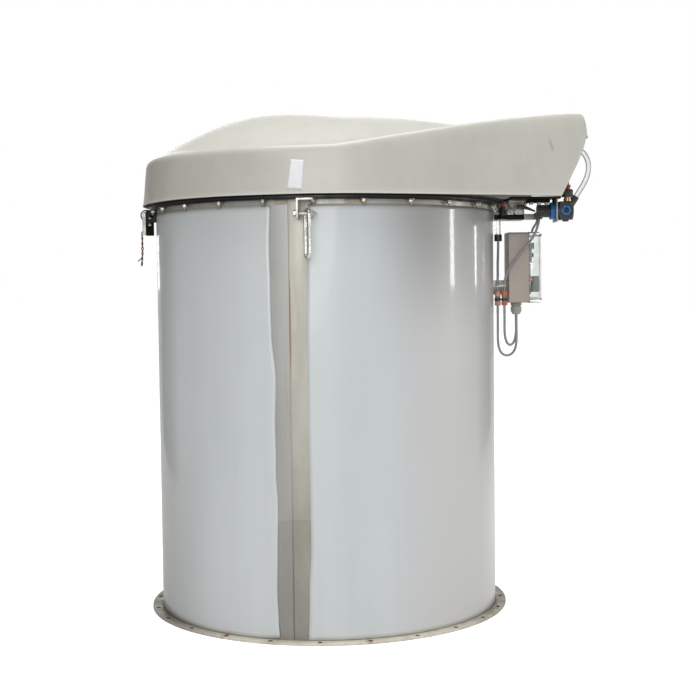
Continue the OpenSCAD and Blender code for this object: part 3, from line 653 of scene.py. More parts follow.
def flangeFinish():
    mat, tree, bsdf = startMaterial("flangeSteel")
    place = useGroup(tree, "polar")
    drift = clouded(tree, baseFlange["steel"], baseFlange["tint"], 26.0, 0.8)
    color = useGroup(tree, "rust", {"Color": drift["Color"], "Scale": 30.0, "Spread": 0.3})["Color"]
    # painted shade: the flange darkens as it turns away from the lit front
    aside = offBy(tree, place["Bearing"], baseFlange["litBearing"])
    color = stain(tree, color, baseFlange["grime"], span(tree, aside, *baseFlange["sideShadeFrom"]), 0.88)
    patchy = plus(tree, 0.45, times(tree, drift["Mask"], 0.55))
    for bearing, reach, depth in baseFlange["spots"]:
        near = falling(tree, offBy(tree, place["Bearing"], bearing), 0.2, reach)
        color = stain(tree, color, baseFlange["rust"], times(tree, near, patchy), depth)
    color = useGroup(tree, "wear", {"Color": color, "Worn": baseFlange["worn"], "Amount": 0.8})["Color"]
    standing = falling(tree, offBy(tree, parted(tree, surfaceNormal(tree))["Z"]), 0.3, 0.6)
    inner, outer = baseFlange["holeRing"]
    ring = times(tree, span(tree, place["Radius"], inner - 0.0005, inner + 0.0005),
                 falling(tree, place["Radius"], outer - 0.0005, outer + 0.0005))
    color = stain(tree, color, baseFlange["holes"], standing, ring)  # painted shade on the walls of the bolt holes
    feed(tree, bsdf.inputs["Base Color"], color)
    roughFrom(tree, bsdf, drift["Mask"], 0.38, 0.6)
    addRelief(tree, bsdf, 0.2, 0.0006, 260.0)
    setShader(bsdf, {"Metallic": 0.15})
    return mat


tubeSheet = dict(steel=srgb(178, 182, 184), tint=srgb(150, 154, 157), edge=srgb(20, 20, 20),
                 edgeFrom=(0.4146, 0.4152), metal=0.7)


def sheetFinish():  # galvanised inside, black at the outer edge
    mat, tree, bsdf = startMaterial("tubeSheetSteel")
    drift = clouded(tree, tubeSheet["steel"], tubeSheet["tint"], 40.0, 0.8)
    dusty = useGroup(tree, "dust", {"Color": drift["Color"], "Amount": 0.35})
    edge = span(tree, useGroup(tree, "polar")["Radius"], *tubeSheet["edgeFrom"])
    feed(tree, bsdf.inputs["Base Color"], mixColor(tree, edge, dusty["Color"], tubeSheet["edge"]))
    roughFrom(tree, bsdf, drift["Mask"], 0.35, 0.55)
    feed(tree, bsdf.inputs["Metallic"], times(tree, minus(tree, 1.0, edge), tubeSheet["metal"]))
    addRelief(tree, bsdf, 0.1, 0.0005, 200.0)
    return mat


finishes.update(clear=clearFinish(), hose=hoseFinish(), gelcoat=gelcoatFinish(), bodySteel=bodySteelFinish(),
                film=filmFinish(), flange=flangeFinish(), sheet=sheetFinish())
print("finishes made:", len(finishes))


# small mesh makers

def lathe(mesh, profile, place, sides=32, phase=0.0):  # profile is (radius, height) from bottom to top
    rings = []
    for radius, height in profile:
        spots = circle(radius, sides, phase) if radius else [(0, 0)]
        rings.append([mesh.verts.new(place @ Vector((x, y, height))) for x, y in spots])
    for low, high in zip(rings, rings[1:]):
        for k in range(sides):
            after = (k + 1) % sides
            if len(low) == 1:
                mesh.faces.new((low[0], high[after], high[k]))
            elif len(high) == 1:
                mesh.faces.new((low[k], low[after], high[0]))
            else:
                mesh.faces.new((low[k], low[after], high[after], high[k]))


def joinRows(mesh, rows, closed=False):  # four-sided faces between rows of points
    for low, high in zip(rows, rows[1:]):
        for k in range(len(low) if closed else len(low) - 1):
            after = (k + 1) % len(low)
            mesh.faces.new((low[k], low[after], high[after], high[k]))


def capEnds(mesh, rings):
    mesh.faces.new(list(reversed(rings[0])))
    mesh.faces.new(rings[-1])


def block(mesh, low, high, place=Matrix.Identity(4), soft=0.0006):  # box with eased edges
    made = bmesh.ops.create_cube(mesh, size=1.0)["verts"]
    low, high = Vector(low), Vector(high)
    for vert in made:
        vert.co = place @ ((low + high) / 2 + Vector(a * b for a, b in zip(vert.co, high - low)))
    if soft:
        edges = list({edge for vert in made for edge in vert.link_edges})
        bmesh.ops.bevel(mesh, geom=edges, offset=soft, segments=2, profile=0.6, affect="EDGES")


def ridePiece(name, data, body, finish):
    data.materials.append(finishes[finish])
    piece = bpy.data.objects.new(name, data)
    scene.collection.objects.link(piece)
    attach(piece, body)
    return piece


def makePiece(name, mesh, body, finish, sharp=35):
    bmesh.ops.recalc_face_normals(mesh, faces=mesh.faces)
    data = bpy.data.meshes.new(name)
    mesh.to_mesh(data)
    mesh.free()
    for face in data.polygons:
        face.use_smooth = True
    data.set_sharp_from_angle(angle=math.radians(sharp))
    return ridePiece(name, data, body, finish)


def blockPiece(name, boxes, body, finish, soft=0.0006):
    mesh = bmesh.new()
    for low, high in boxes:
        block(mesh, low, high, soft=soft)
    return makePiece(name, mesh, body, finish)


def thicken(piece, thickness, offset):
    skin = piece.modifiers.new("skin", "SOLIDIFY")
    skin.thickness = thickness
    skin.offset = offset


def upright(x, y, z):
    return Matrix.Translation((x, y, z))


def along(point, direction):  # local Z turned along direction
    turn = Vector(direction).to_track_quat("Z", "Y").to_matrix().to_4x4()
    return Matrix.Translation(point) @ turn


def disc(radius, height, low=0.0):
    return [(0, low), (radius, low), (radius, low + height), (0, low + height)]


def sleeve(bore, edge, radius, low, high, ease=0.001):
    return [(bore, low), (edge, low), (radius, low + ease), (radius, high - ease), (edge, high), (bore, high)]


def hexHead(radius, height):
    return [(0, 0), (radius * 0.9, 0), (radius, height * 0.14), (radius, height * 0.86),
            (radius * 0.9, height),
            (0, height)]


def threadRod(radius, length, pitch=0.0013):
    profile = [(0, 0)]
    turns = max(2, int(length / pitch))
    for k in range(turns):
        profile += [(radius, length * (k + 0.2) / turns), (radius * 0.86, length * (k + 0.8) / turns)]
    return profile + [(radius * 0.8, length), (0, length)]


boltLook = dict(washerHigh=0.0012, washerSides=28, corner=1.15, thread=0.58, threadSides=16)


def addBolt(mesh, place, head, headHigh, washer, thread=0.0):  # head at local +Z, seat at 0
    lift = boltLook["washerHigh"]
    lathe(mesh, disc(washer, lift), place, boltLook["washerSides"])
    lathe(mesh, hexHead(head * boltLook["corner"], headHigh), place @ upright(0, 0, lift), 6)
    if thread:
        lathe(mesh, threadRod(head * boltLook["thread"], thread), place @ upright(0, 0, lift + headHigh),
              boltLook["threadSides"])


# hood: the moulded cover, finer than the solid and with its rolled rim

hood = dict(
    radius=0.430, taper=math.radians(19), beakRim=0.519, beakLip=0.591, lipRise=0.133, lipLean=0.12,
    draft=0.09,
    corner=40, creaseLow=0.098, creaseHigh=0.184, climbFrom=0.017, climbLength=0.554, climbEase=0.0036,
    climbPower=1.38, domeRise=0.116, crownX=-0.095, firstCrease=0.110, shoulderLow=0.016, shoulderHigh=0.045,
    shoulderIn=0.010, shoulderShare=0.6, blendWidth=0.010, wall=0.004, columns=(14, 34, 100), wallRows=16,
    rowCrowd=1.5, bendRows=12, roofRows=44, rimBead=0.0014, rimReach=0.007, ripple=0.0007, sharp=60,
)
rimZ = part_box("hood")[0].z
sideFace = math.pi / 2 - hood["taper"]


def endX(z):
    return hood["beakLip"] + (hood["lipRise"] - (z - rimZ)) * hood["lipLean"]


def sideY(x, rise):
    room = hood["radius"] - hood["draft"] * rise - x * math.sin(hood["taper"])
    return room / math.cos(hood["taper"])


def planRadius(bearing, z):
    radius = hood["radius"] - hood["draft"] * (z - rimZ)
    if abs(bearing) < sideFace:
        radius /= math.cos(sideFace - abs(bearing))
    reach = math.cos(bearing)
    if reach > 0.25:
        power = hood["corner"]
        radius = (radius ** -power + (endX(z) / reach) ** -power) ** (-1 / power)
    return radius


lipBearing = math.atan(sideY(hood["beakLip"], hood["lipRise"]) / hood["beakLip"])
rimBearing = math.atan(sideY(hood["beakRim"], 0) / hood["beakRim"])


def footHeight(bearing):  # the rim, then up the slanted edge of the mouth
    if abs(bearing) > rimBearing:
        return rimZ
    share = math.cos(max(0, sideFace - abs(bearing)))
    reach = hood["radius"] * math.cos(bearing) / share - hood["beakRim"]
    rate = (hood["beakLip"] - hood["beakRim"]) / hood["lipRise"]
    rate += hood["draft"] * math.cos(bearing) / share
    return rimZ + min(hood["lipRise"], max(0, reach / rate))


def rampHeight(x):
    u = (x - hood["climbFrom"]) / hood["climbLength"]
    u = min(1, (math.sqrt(u * u + hood["climbEase"]) + u) / 2)
    climb = 1 - (1 - u) ** hood["climbPower"]
    return rimZ + hood["creaseLow"] + (hood["creaseHigh"] - hood["creaseLow"]) * climb


def roofHeight(q, x):
    dome = rimZ + hood["creaseLow"] + hood["domeRise"] * (1 - q * q)
    ramp = rampHeight(x)
    return (dome + ramp + math.sqrt((dome - ramp) ** 2 + hood["blendWidth"] ** 2)) / 2


def hoodMeridian(bearing):  # radius, height and shift along X from the rim to the crown
    reach = math.cos(bearing)
    rough = rampHeight(planRadius(bearing, rimZ + hood["firstCrease"]) * reach)
    crease = roofHeight(1, (planRadius(bearing, rough) - hood["shoulderIn"]) * reach)
    outer = planRadius(bearing, crease)
    inner = outer - hood["shoulderIn"]
    foot = footHeight(bearing)
    share = (crease - rimZ - hood["creaseLow"]) / (hood["creaseHigh"] - hood["creaseLow"])
    shoulder = hood["shoulderLow"] + (hood["shoulderHigh"] - hood["shoulderLow"]) * min(1, max(0, share))
    shoulder = min(shoulder, hood["shoulderShare"] * (crease - foot))
    slope = (roofHeight(0.97, 0.97 * inner * reach + 0.03 * hood["crownX"]) - crease) / (0.03 * inner)
    points = []
    for k in range(hood["wallRows"]):
        part = (k / hood["wallRows"]) ** hood["rowCrowd"]  # rows close together at the rim
        z = foot + (crease - shoulder - foot) * part
        bead = hood["rimBead"] * max(0, 1 - ((z - foot) / hood["rimReach"]) ** 2)
        points.append((planRadius(bearing, z) + bead, z, 0))
    start = (planRadius(bearing, crease - shoulder), crease - shoulder)
    middle = (outer, crease - hood["shoulderIn"] * slope)
    for k in range(hood["bendRows"] + 1):
        u = k / hood["bendRows"]
        weights = ((1 - u) ** 2, 2 * u * (1 - u), u * u)
        points.append((weights[0] * start[0] + weights[1] * middle[0] + weights[2] * inner,
                       weights[0] * start[1] + weights[1] * middle[1] + weights[2] * crease, 0))
    for k in range(1, hood["roofRows"]):
        q = 1 - k / hood["roofRows"]
        shift = (1 - q) * hood["crownX"]
        points.append((q * inner, roofHeight(q, q * inner * reach + shift), shift))
    return points


def hoodBearings():  # closest together round the corners of the mouth
    stops = (0, lipBearing * 0.92, rimBearing * 1.08, math.pi)
    half = []
    for start, stop, count in zip(stops, stops[1:], hood["columns"]):
        half += [start + (stop - start) * k / count for k in range(count)]
    return half + [math.pi] + [-bearing for bearing in reversed(half[1:])]


def onHood(radius, bearing, z, shift=0.0, lift=0.0):  # spot on the slightly uneven skin
    spot = Vector((radius * math.cos(bearing) + shift, radius * math.sin(bearing), z))
    sway = noise.noise(spot * 5.0) + 0.5 * noise.noise(spot * 11.0 + Vector((3, 1, 2)))
    out = Vector((math.cos(bearing), math.sin(bearing), 0.6)).normalized()
    return spot + out * (sway * hood["ripple"] + lift)


def makeHood():
    mesh = bmesh.new()
    rings = []
    for bearing in hoodBearings():
        spots = [onHood(radius, bearing, z, shift) for radius, z, shift in hoodMeridian(bearing)]
        rings.append([mesh.verts.new(spot) for spot in spots])
    crown = mesh.verts.new((hood["crownX"], 0, roofHeight(0, hood["crownX"])))
    for now, after in zip(rings, rings[1:] + rings[:1]):
        for k in range(len(now) - 1):
            mesh.faces.new((now[k], after[k], after[k + 1], now[k + 1]))
        mesh.faces.new((now[-1], after[-1], crown))
    shell = makePiece("weatherHood", mesh, "cover", "gelcoat", hood["sharp"])
    thicken(shell, hood["wall"], -1)
    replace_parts(shell, "hood")


makeHood()
print("hood made")

# corners as bearing and height
hoodLabel = dict(topLeft=(-99.5, 1.021), topRight=(-95.7, 1.019), lowRight=(-96.3, 0.958),
                 lowLeft=(-100.5, 0.961), columns=10, rows=18, lift=0.0005, thickness=0.0003)


def makeLabel():  # plain white label above the lifting point
    mesh = bmesh.new()
    corners = {key: Vector(hoodLabel[key]) for key in ("topLeft", "topRight", "lowRight", "lowLeft")}
    grid = []
    for j in range(hoodLabel["rows"] + 1):
        left = corners["lowLeft"].lerp(corners["topLeft"], j / hoodLabel["rows"])
        right = corners["lowRight"].lerp(corners["topRight"], j / hoodLabel["rows"])
        row = []
        for i in range(hoodLabel["columns"] + 1):
            turn, z = left.lerp(right, i / hoodLabel["columns"])
            bearing = math.radians(turn)
            row.append(mesh.verts.new(onHood(planRadius(bearing, z), bearing, z, lift=hoodLabel["lift"])))
        grid.append(row)
    joinRows(mesh, grid)
    thicken(makePiece("hoodLabel", mesh, "cover", "label", 60), hoodLabel["thickness"], 0)


makeLabel()


# pale protective film round the body, with its wavy gap at the seam

film = dict(
    radius=0.40045, thickness=0.0003, top=0.930, bottom=0.0065, columns=260, rows=110, crowd=0.12,
    leftEdge=((0.0, -105.4), (0.05, -105.9), (0.10, -106.2), (0.20, -105.8), (0.305, -105.5), (0.36, -106.0),
              (0.46, -106.0), (0.56, -105.6), (0.66, -106.7), (0.76, -107.0), (0.84, -107.1), (0.94, -106.6)),
    rightEdge=((0.0, -96.5), (0.10, -96.1), (0.20, -95.4), (0.31, -95.5), (0.46, -95.8), (0.66, -96.0),
               (0.81, -95.6), (0.94, -95.0)),  # height, bearing
    rightWander=0.12, leftWander=0.15, lift=0.0010, liftReach=0.008, flutter=0.00012,
    corner=dict(reach=0.014, high=0.05, out=0.004, up=0.006),  # loose lower corner
)


def edgeBearing(points, height):
    for (lowZ, lowB), (highZ, highB) in zip(points, points[1:]):
        if height <= highZ:
            u = (height - lowZ) / (highZ - lowZ)
            u = u * u * (3 - 2 * u)
            return lowB + (highB - lowB) * u
    return points[-1][1]


def filmSpot(z, share, start, stop):
    bearing = math.radians(start + (stop - start) * share)
    toEdge = film["radius"] * math.radians(min(share, 1 - share) * (stop - start))
    flap = abs(noise.noise(Vector((z * 7, 5 * (share > 0.5), 1))))
    radius = film["radius"] + film["lift"] * math.exp(-toEdge / film["liftReach"]) * (0.35 + 0.65 * flap)
    radius += film["flutter"] * noise.noise(Vector((math.cos(bearing) * 6, math.sin(bearing) * 6, z * 2.5)))
    loose = film["corner"]
    hang = math.exp(-toEdge / loose["reach"]) * max(0, 1 - z / loose["high"]) if share > 0.5 else 0
    radius += loose["out"] * hang
    return radius * math.cos(bearing), radius * math.sin(bearing), z + loose["up"] * hang


def makeFilm():
    mesh = bmesh.new()
    rows = []
    for j in range(film["rows"] + 1):
        z = film["bottom"] + (film["top"] - film["bottom"]) * j / film["rows"]
        start = edgeBearing(film["rightEdge"], z)
        start += film["rightWander"] * noise.noise(Vector((z * 9, 0.3, 0)))
        stop = 360 + edgeBearing(film["leftEdge"], z)
        stop += film["leftWander"] * noise.noise(Vector((z * 11, 7.7, 0)))
        row = []
        for i in range(film["columns"] + 1):
            share = i / film["columns"]
            share -= film["crowd"] * math.sin(2 * math.pi * share) / math.pi / 2  # columns closer at the gap
            row.append(mesh.verts.new(filmSpot(z, share, start, stop)))
        rows.append(row)
    joinRows(mesh, rows)
    thicken(makePiece("bodyFilm", mesh, "filter_body", "film", 60), film["thickness"], 1)


makeFilm()
print("film made")


# weld bead down the seam

weld = dict(width=0.0040, height=0.0009, radius=0.400, sunk=0.0004, bottom=0.006, top=0.9385, rings=220,
            sides=6)


def makeWeld():
    mesh = bmesh.new()
    bearing = math.radians(seam["bearing"])
    out = Vector((math.cos(bearing), math.sin(bearing), 0))
    side = Vector((-math.sin(bearing), math.cos(bearing), 0))
    rows = []
    for j in range(weld["rings"] + 1):
        z = weld["bottom"] + (weld["top"] - weld["bottom"]) * j / weld["rings"]
        swell = 1 + 0.25 * math.sin(j * 1.9) + 0.3 * noise.noise(Vector((z * 60, 0, 0)))
        row = []
        for k in range(weld["sides"] + 1):
            turn = math.pi * k / weld["sides"]
            flat = -math.cos(turn) * weld["width"] / 2 * (0.85 + 0.15 * swell)
            proud = math.sin(turn) * weld["height"] * swell - weld["sunk"]
            row.append(mesh.verts.new(out * (weld["radius"] + proud) + side * flat + Vector((0, 0, z))))
        rows.append(row)
    joinRows(mesh, rows, closed=True)
    capEnds(mesh, rows)
    makePiece("seamWeld", mesh, "filter_body", "bodySteel", 50)


makeWeld()


# ring of bolts under the top flange

topBolts = dict(count=24, firstBearing=-93.5, ringRadius=0.4088, seatZ=0.940, turnStep=1.1, nut=0.0066 * 0.87,
                nutHigh=0.0060, washer=0.0082, tail=0.0045)


def makeTopBolts():
    mesh = bmesh.new()
    ring = circle(topBolts["ringRadius"], topBolts["count"], math.radians(topBolts["firstBearing"]))
    for k, (x, y) in enumerate(ring):
        turn = Matrix.Rotation(k * topBolts["turnStep"], 4, "Z")
        hang = along((x, y, topBolts["seatZ"]), (0, 0, -1)) @ turn
        addBolt(mesh, hang, topBolts["nut"], topBolts["nutHigh"], topBolts["washer"], topBolts["tail"])
    makePiece("topBolts", mesh, "filter_body", "boltSteel")


makeTopBolts()
print("weld and top bolts made")


# lines, hose and wire, along the same points as the solids

def smoothRoute(points, steps, relax=0):
    points = [Vector(p) for p in points]
    route = []
    for i in range(len(points) - 1):
        a, b, c, d = points[max(0, i - 1)], points[i], points[i + 1], points[min(len(points) - 1, i + 2)]
        for k in range(steps):
            u = k / steps
            route.append(0.5 * (2 * b + (c - a) * u + (2 * a - 5 * b + 4 * c - d) * u * u
                                + (3 * b - a - 3 * c + d) * u ** 3))
    route.append(points[-1])
    for turn in range(relax):  # evens out the bends, ends kept
        middle = [(route[k - 1] + route[k] * 2 + route[k + 1]) / 4 for k in range(3, len(route) - 3)]
        route = route[:3] + middle + route[-3:]
    return route


def heading(route, k):
    return (route[min(len(route) - 1, k + 1)] - route[max(0, k - 1)]).normalized()


def sweep(mesh, route, radii, sides):
    rings = []
    aside = Vector((0, 1, 0))
    for k, place in enumerate(route):
        ahead = heading(route, k)
        aside = (aside - ahead * aside.dot(ahead)).normalized()
        other = ahead.cross(aside)
        rings.append([mesh.verts.new(place + aside * a + other * b) for a, b in circle(radii[k], sides)])
    joinRows(mesh, rings, closed=True)
    return rings


def curvePiece(name, routes, diameter, body, finish, roundness=5):
    data = bpy.data.curves.new(name, "CURVE")
    data.dimensions = "3D"
    data.bevel_depth = diameter / 2
    data.bevel_resolution = roundness
    data.use_fill_caps = True
    for route in routes:
        line = data.splines.new("POLY")
        line.points.add(len(route) - 1)
        for spot, place in zip(line.points, route):
            spot.co = (*place, 1)
        line.use_smooth = True
    return ridePiece(name, data, body, finish)


greyLines = dict(
    lineLeft=dict(node="line_left", diameter=0.006, carries=("line_unions",), points=(
        (0.413, -0.022, 0.8596), (0.413, -0.022, 0.846), (0.412, -0.025, 0.825), (0.410, -0.034, 0.803),
        (0.409, -0.043, 0.782), (0.408, -0.046, 0.761), (0.408, -0.046, 0.725), (0.408, -0.046, 0.690),
        (0.408, -0.046, 0.653), (0.408, -0.046, 0.618), (0.415, -0.041, 0.595), (0.432, -0.030, 0.586),
        (0.450, -0.019, 0.595), (0.457, -0.014, 0.618), (0.457, -0.014, 0.644), (0.457, -0.014, 0.696))),
    lineRight=dict(node="line_right", diameter=0.006, carries=(), points=(
        (0.505, -0.062, 0.9096), (0.495, -0.061, 0.872), (0.464, -0.059, 0.835), (0.436, -0.057, 0.799),
        (0.425, -0.051, 0.770), (0.424, -0.046, 0.744), (0.424, -0.046, 0.715), (0.424, -0.046, 0.690),
        (0.424, -0.046, 0.665), (0.424, -0.046, 0.640), (0.429, -0.040, 0.620), (0.440, -0.026, 0.611),
        (0.452, -0.012, 0.620), (0.457, -0.006, 0.640), (0.457, -0.006, 0.662), (0.457, -0.006, 0.696))),
    lineTop=dict(node="line_top", diameter=0.0056, carries=(), points=(
        (0.503, -0.045, 0.9096), (0.502, -0.043, 0.902), (0.498, -0.038, 0.895), (0.494, -0.034, 0.888),
        (0.493, -0.032, 0.8804))),
)


def makeLines():
    for name, spec in greyLines.items():
        route = smoothRoute(spec["points"], 6, 8)
        line = curvePiece(name, [route], spec["diameter"], "filter_body", "cable")
        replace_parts(line, spec["node"])


makeLines()

airHose = dict(
    diameter=0.012, bore=0.0084, sides=20, steps=8, relax=40,
    points=((0.5860, -0.093, 0.9599), (0.5980, -0.093, 0.9783), (0.610, -0.093, 0.998),
            (0.617, -0.096, 1.023),
            (0.612, -0.103, 1.048), (0.594, -0.112, 1.067), (0.569, -0.121, 1.074), (0.542, -0.128, 1.068),
            (0.513, -0.133, 1.054), (0.480, -0.135, 1.041), (0.439, -0.135, 1.0325), (0.401, -0.135, 1.0295),
            (0.3674, -0.135, 1.0295)),
)


def makeHose():
    route = smoothRoute(airHose["points"], airHose["steps"], airHose["relax"])
    mesh = bmesh.new()
    outer = sweep(mesh, route, [airHose["diameter"] / 2] * len(route), airHose["sides"])
    inner = sweep(mesh, route, [airHose["bore"] / 2] * len(route), airHose["sides"])
    for end in (0, -1):
        joinRows(mesh, [outer[end], inner[end]], closed=True)
    hose = makePiece("airHose", mesh, "cover", "hose", 60)
    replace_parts(hose, "air_tube")


makeHose()

tieWire = dict(
    strand=0.0026, diameter=0.003, twist=0.0015, pitch=0.024,
    points=((-0.423, 0, 0.895), (-0.430, 0, 0.895), (-0.436, -0.001, 0.893), (-0.438, -0.001, 0.886),
            (-0.438, -0.002, 0.877), (-0.438, -0.002, 0.863), (-0.438, -0.003, 0.839),
            (-0.440, -0.004, 0.811)),
    loose=((-0.4390, -0.0034, 0.8330), (-0.4420, -0.0040, 0.8285), (-0.4465, -0.0045, 0.8245),
           (-0.4490, -0.0045, 0.8225)),
)


def wireStrand(route, phase):
    strand = []
    gone = 0.0
    aside = Vector((0, 1, 0))
    for k, place in enumerate(route):
        ahead = heading(route, k)
        gone += (place - route[max(0, k - 1)]).length
        aside = (aside - ahead * aside.dot(ahead)).normalized()
        turn = phase + 2 * math.pi * gone / tieWire["pitch"]
        radius = tieWire["twist"] * (1 + 0.3 * math.sin(gone * 140))  # slack here and there
        strand.append(place + (aside * math.cos(turn) + ahead.cross(aside) * math.sin(turn)) * radius)
    return strand


def makeWire():  # two strands twisted together, one end sprung loose
    route = smoothRoute(tieWire["points"], 8, 6)
    strands = [wireStrand(route, phase) for phase in (0, math.pi)]
    wire = curvePiece("tieWire", strands, tieWire["strand"], "filter_body", "wire", 3)
    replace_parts(wire, "tie_wire")
    loose = smoothRoute(tieWire["loose"], 6)
    end = curvePiece("wireEnd", [loose], tieWire["strand"], "filter_body", "wire")


makeWire()

blackCords = dict(
    latchCord=dict(body="filter_body", diameter=0.003, stiffness="limp", points=(
        (-0.416, -0.008, 0.9418), (-0.423, -0.008, 0.9436), (-0.431, -0.008, 0.9432),
        (-0.4375, -0.008, 0.938),
        (-0.439, -0.008, 0.931), (-0.437, -0.008, 0.924), (-0.4325, -0.008, 0.919),
        (-0.4306, -0.008, 0.916))),
    blackTube=dict(body="cover", diameter=0.008, stiffness="stiff", points=(
        (0.562, -0.114, 0.9830), (0.562, -0.114, 0.996), (0.5600, -0.114, 1.011), (0.552, -0.114, 1.024),
        (0.541, -0.114, 1.0314), (0.528, -0.114, 1.034), (0.500, -0.114, 1.0345), (0.460, -0.114, 1.033),
        (0.420, -0.114, 1.031), (0.385, -0.114, 1.0297), (0.3553, -0.114, 1.0295))),
)


def makeBlackCords():
    for name, spec in blackCords.items():
        route = smoothRoute(spec["points"], 6, 4)
        cord = curvePiece(name, [route], spec["diameter"], spec["body"], "cordBlack")


makeBlackCords()
print("lines, hose, wire and cords made")


# lifting bolts: hex head, shank, washers and nut on each lifting bracket

lugBolt = dict(
    bearing=-95.5, reach=0.430, height=0.909, start=-0.0245, shank=0.004, headHigh=0.0058, head=0.0075,
    plateLow=-0.017, nutFrom=0.0105, nutHigh=0.0065, tail=0.007, washer=0.0086, washerHigh=0.0014,
    washerStep=0.0016,
    ends=(("lug_pin_front", "liftingBoltFront", 1), ("lug_pin_back", "liftingBoltBack", -1)),
)


def makeLugBolts():
    bearing = math.radians(lugBolt["bearing"])
    for node, name, side in lugBolt["ends"]:
        mesh = bmesh.new()
        out = Vector((math.cos(bearing), side * math.sin(bearing), 0))
        run = Vector((-math.sin(bearing), side * math.cos(bearing), 0))
        axis = along(out * lugBolt["reach"] + Vector((0, 0, lugBolt["height"])), run)
        headSeat = axis @ upright(0, 0, lugBolt["start"])
        nutSeat = axis @ upright(0, 0, lugBolt["nutFrom"])
        lathe(mesh, hexHead(lugBolt["head"], lugBolt["headHigh"]), headSeat, 6, 0.4)
        for seat in (lugBolt["plateLow"], lugBolt["nutFrom"]):
            lathe(mesh, disc(lugBolt["washer"], lugBolt["washerHigh"]),
                  axis @ upright(0, 0, seat - lugBolt["washerStep"]), 28)
        lathe(mesh, disc(lugBolt["shank"], lugBolt["nutFrom"] - lugBolt["start"]), headSeat, 24)
        lathe(mesh, hexHead(lugBolt["head"], lugBolt["nutHigh"]), nutSeat, 6, 0.9)
        lathe(mesh, threadRod(lugBolt["shank"] * 0.96, lugBolt["tail"]),
              nutSeat @ upright(0, 0, lugBolt["nutHigh"]), 18)
        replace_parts(makePiece(name, mesh, "filter_body", "zinc"), node)


makeLugBolts()

hingeBolt = dict(x=0.462, z=0.932, shank=0.005, face=0.0312, head=0.0088, headHigh=0.0062, washer=0.0105,
                 tail=0.006)


def makeHingeBolt():
    mesh = bmesh.new()
    axis = along((hingeBolt["x"], 0, hingeBolt["z"]), (0, 1, 0))
    face = hingeBolt["face"]
    lathe(mesh, disc(hingeBolt["shank"], 2 * face), axis @ upright(0, 0, -face), 28)
    for turn, tail in ((0, hingeBolt["tail"]), (math.pi, 0.0)):
        end = axis @ Matrix.Rotation(turn, 4, "X") @ upright(0, 0, face)
        addBolt(mesh, end, hingeBolt["head"] / boltLook["corner"],
                hingeBolt["headHigh"] - boltLook["washerHigh"],
                hingeBolt["washer"], tail)
    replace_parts(makePiece("hingeBolt", mesh, "filter_body", "bright"), "hinge_pin")


makeHingeBolt()
print("lifting and hinge bolts made")


# small fittings at the hinge

hingeTrim = dict(
    # the first block is a painted shadow: a dark strip across the lower front of the hinge ear
    steel=(((0.4025, -0.0334, 0.9105), (0.4740, -0.0312, 0.9225)),
           ((0.4100, -0.0680, 0.9105), (0.4300, -0.0312, 0.9130)),
           ((0.4130, -0.0650, 0.9130), (0.4270, -0.0510, 0.9192))),
    fitting=(0.4200, -0.0580), bodyZ=0.9190, hexZ=0.9265, colletZ=0.9394,
    body=((0, 0), (0.0085, 0), (0.0092, 0.0008), (0.0092, 0.006), (0.0078, 0.0072), (0.0078, 0.0195),
          (0.0070, 0.0205), (0, 0.0205)),
    collet=((0.0032, 0), (0.0056, 0), (0.0056, 0.0035), (0.0066, 0.0048), (0.0066, 0.0078), (0.0060, 0.0086),
            (0.0034, 0.0086)),
    earFace=-0.0312, earBolts=((0.4090, 0.9330), (0.4180, 0.9300), (0.4420, 0.9275)),
)


def makeHingeTrim():
    # its first block is a painted shadow on the lower front of the hinge ear
    blockPiece("hingeShadeAndPlates", hingeTrim["steel"], "filter_body", "blackSteel")
    x, y = hingeTrim["fitting"]
    black = bmesh.new()
    lathe(black, hingeTrim["body"], upright(x, y, hingeTrim["bodyZ"]), 28)
    lathe(black, hexHead(0.0098, 0.0055), upright(x, y, hingeTrim["hexZ"]), 6, 0.3)
    makePiece("pushBody", black, "filter_body", "blackPlastic")
    red = bmesh.new()
    lathe(red, hingeTrim["collet"], upright(x, y, hingeTrim["colletZ"]), 28)
    makePiece("pushCollet", red, "filter_body", "collet")
    bolts = bmesh.new()
    for k, (boltX, boltZ) in enumerate(hingeTrim["earBolts"]):
        seat = along((boltX, hingeTrim["earFace"], boltZ), (0, -1, 0)) @ Matrix.Rotation(0.5 * k, 4, "Z")
        addBolt(bolts, seat, 0.0046, 0.0042, 0.0066, 0.004)
    makePiece("earBolts", bolts, "filter_body", "bright")


makeHingeTrim()

armTrim = dict(
    block=((0.4700, -0.1230, 0.9455), (0.5210, -0.0850, 0.9534)),
    post=((0.5290, -0.1110, 0.9440), (0.5330, -0.1000, 0.9534)),
    plate=((0.4320, -0.0760, 0.9500), (0.4640, -0.0480, 0.9534)),
    boltX=(0.4780, 0.4965, 0.5140), boltY=-0.112,
    lever=((0.4540, -0.058, 0.9385), (0.4640, -0.058, 0.9395), (0.4800, -0.058, 0.9350),
           (0.4960, -0.058, 0.9285)),
    rod=((0.4680, -0.058, 0.9385), (0.4730, -0.058, 0.9532)), rodRadius=0.0016,
    pivot=(0.4660, -0.0554, 0.9390),
)


def leverRadius(u):
    return 0.0034 + 0.0016 * math.sin(math.pi * min(1, u * 1.2)) - 0.0012 * u


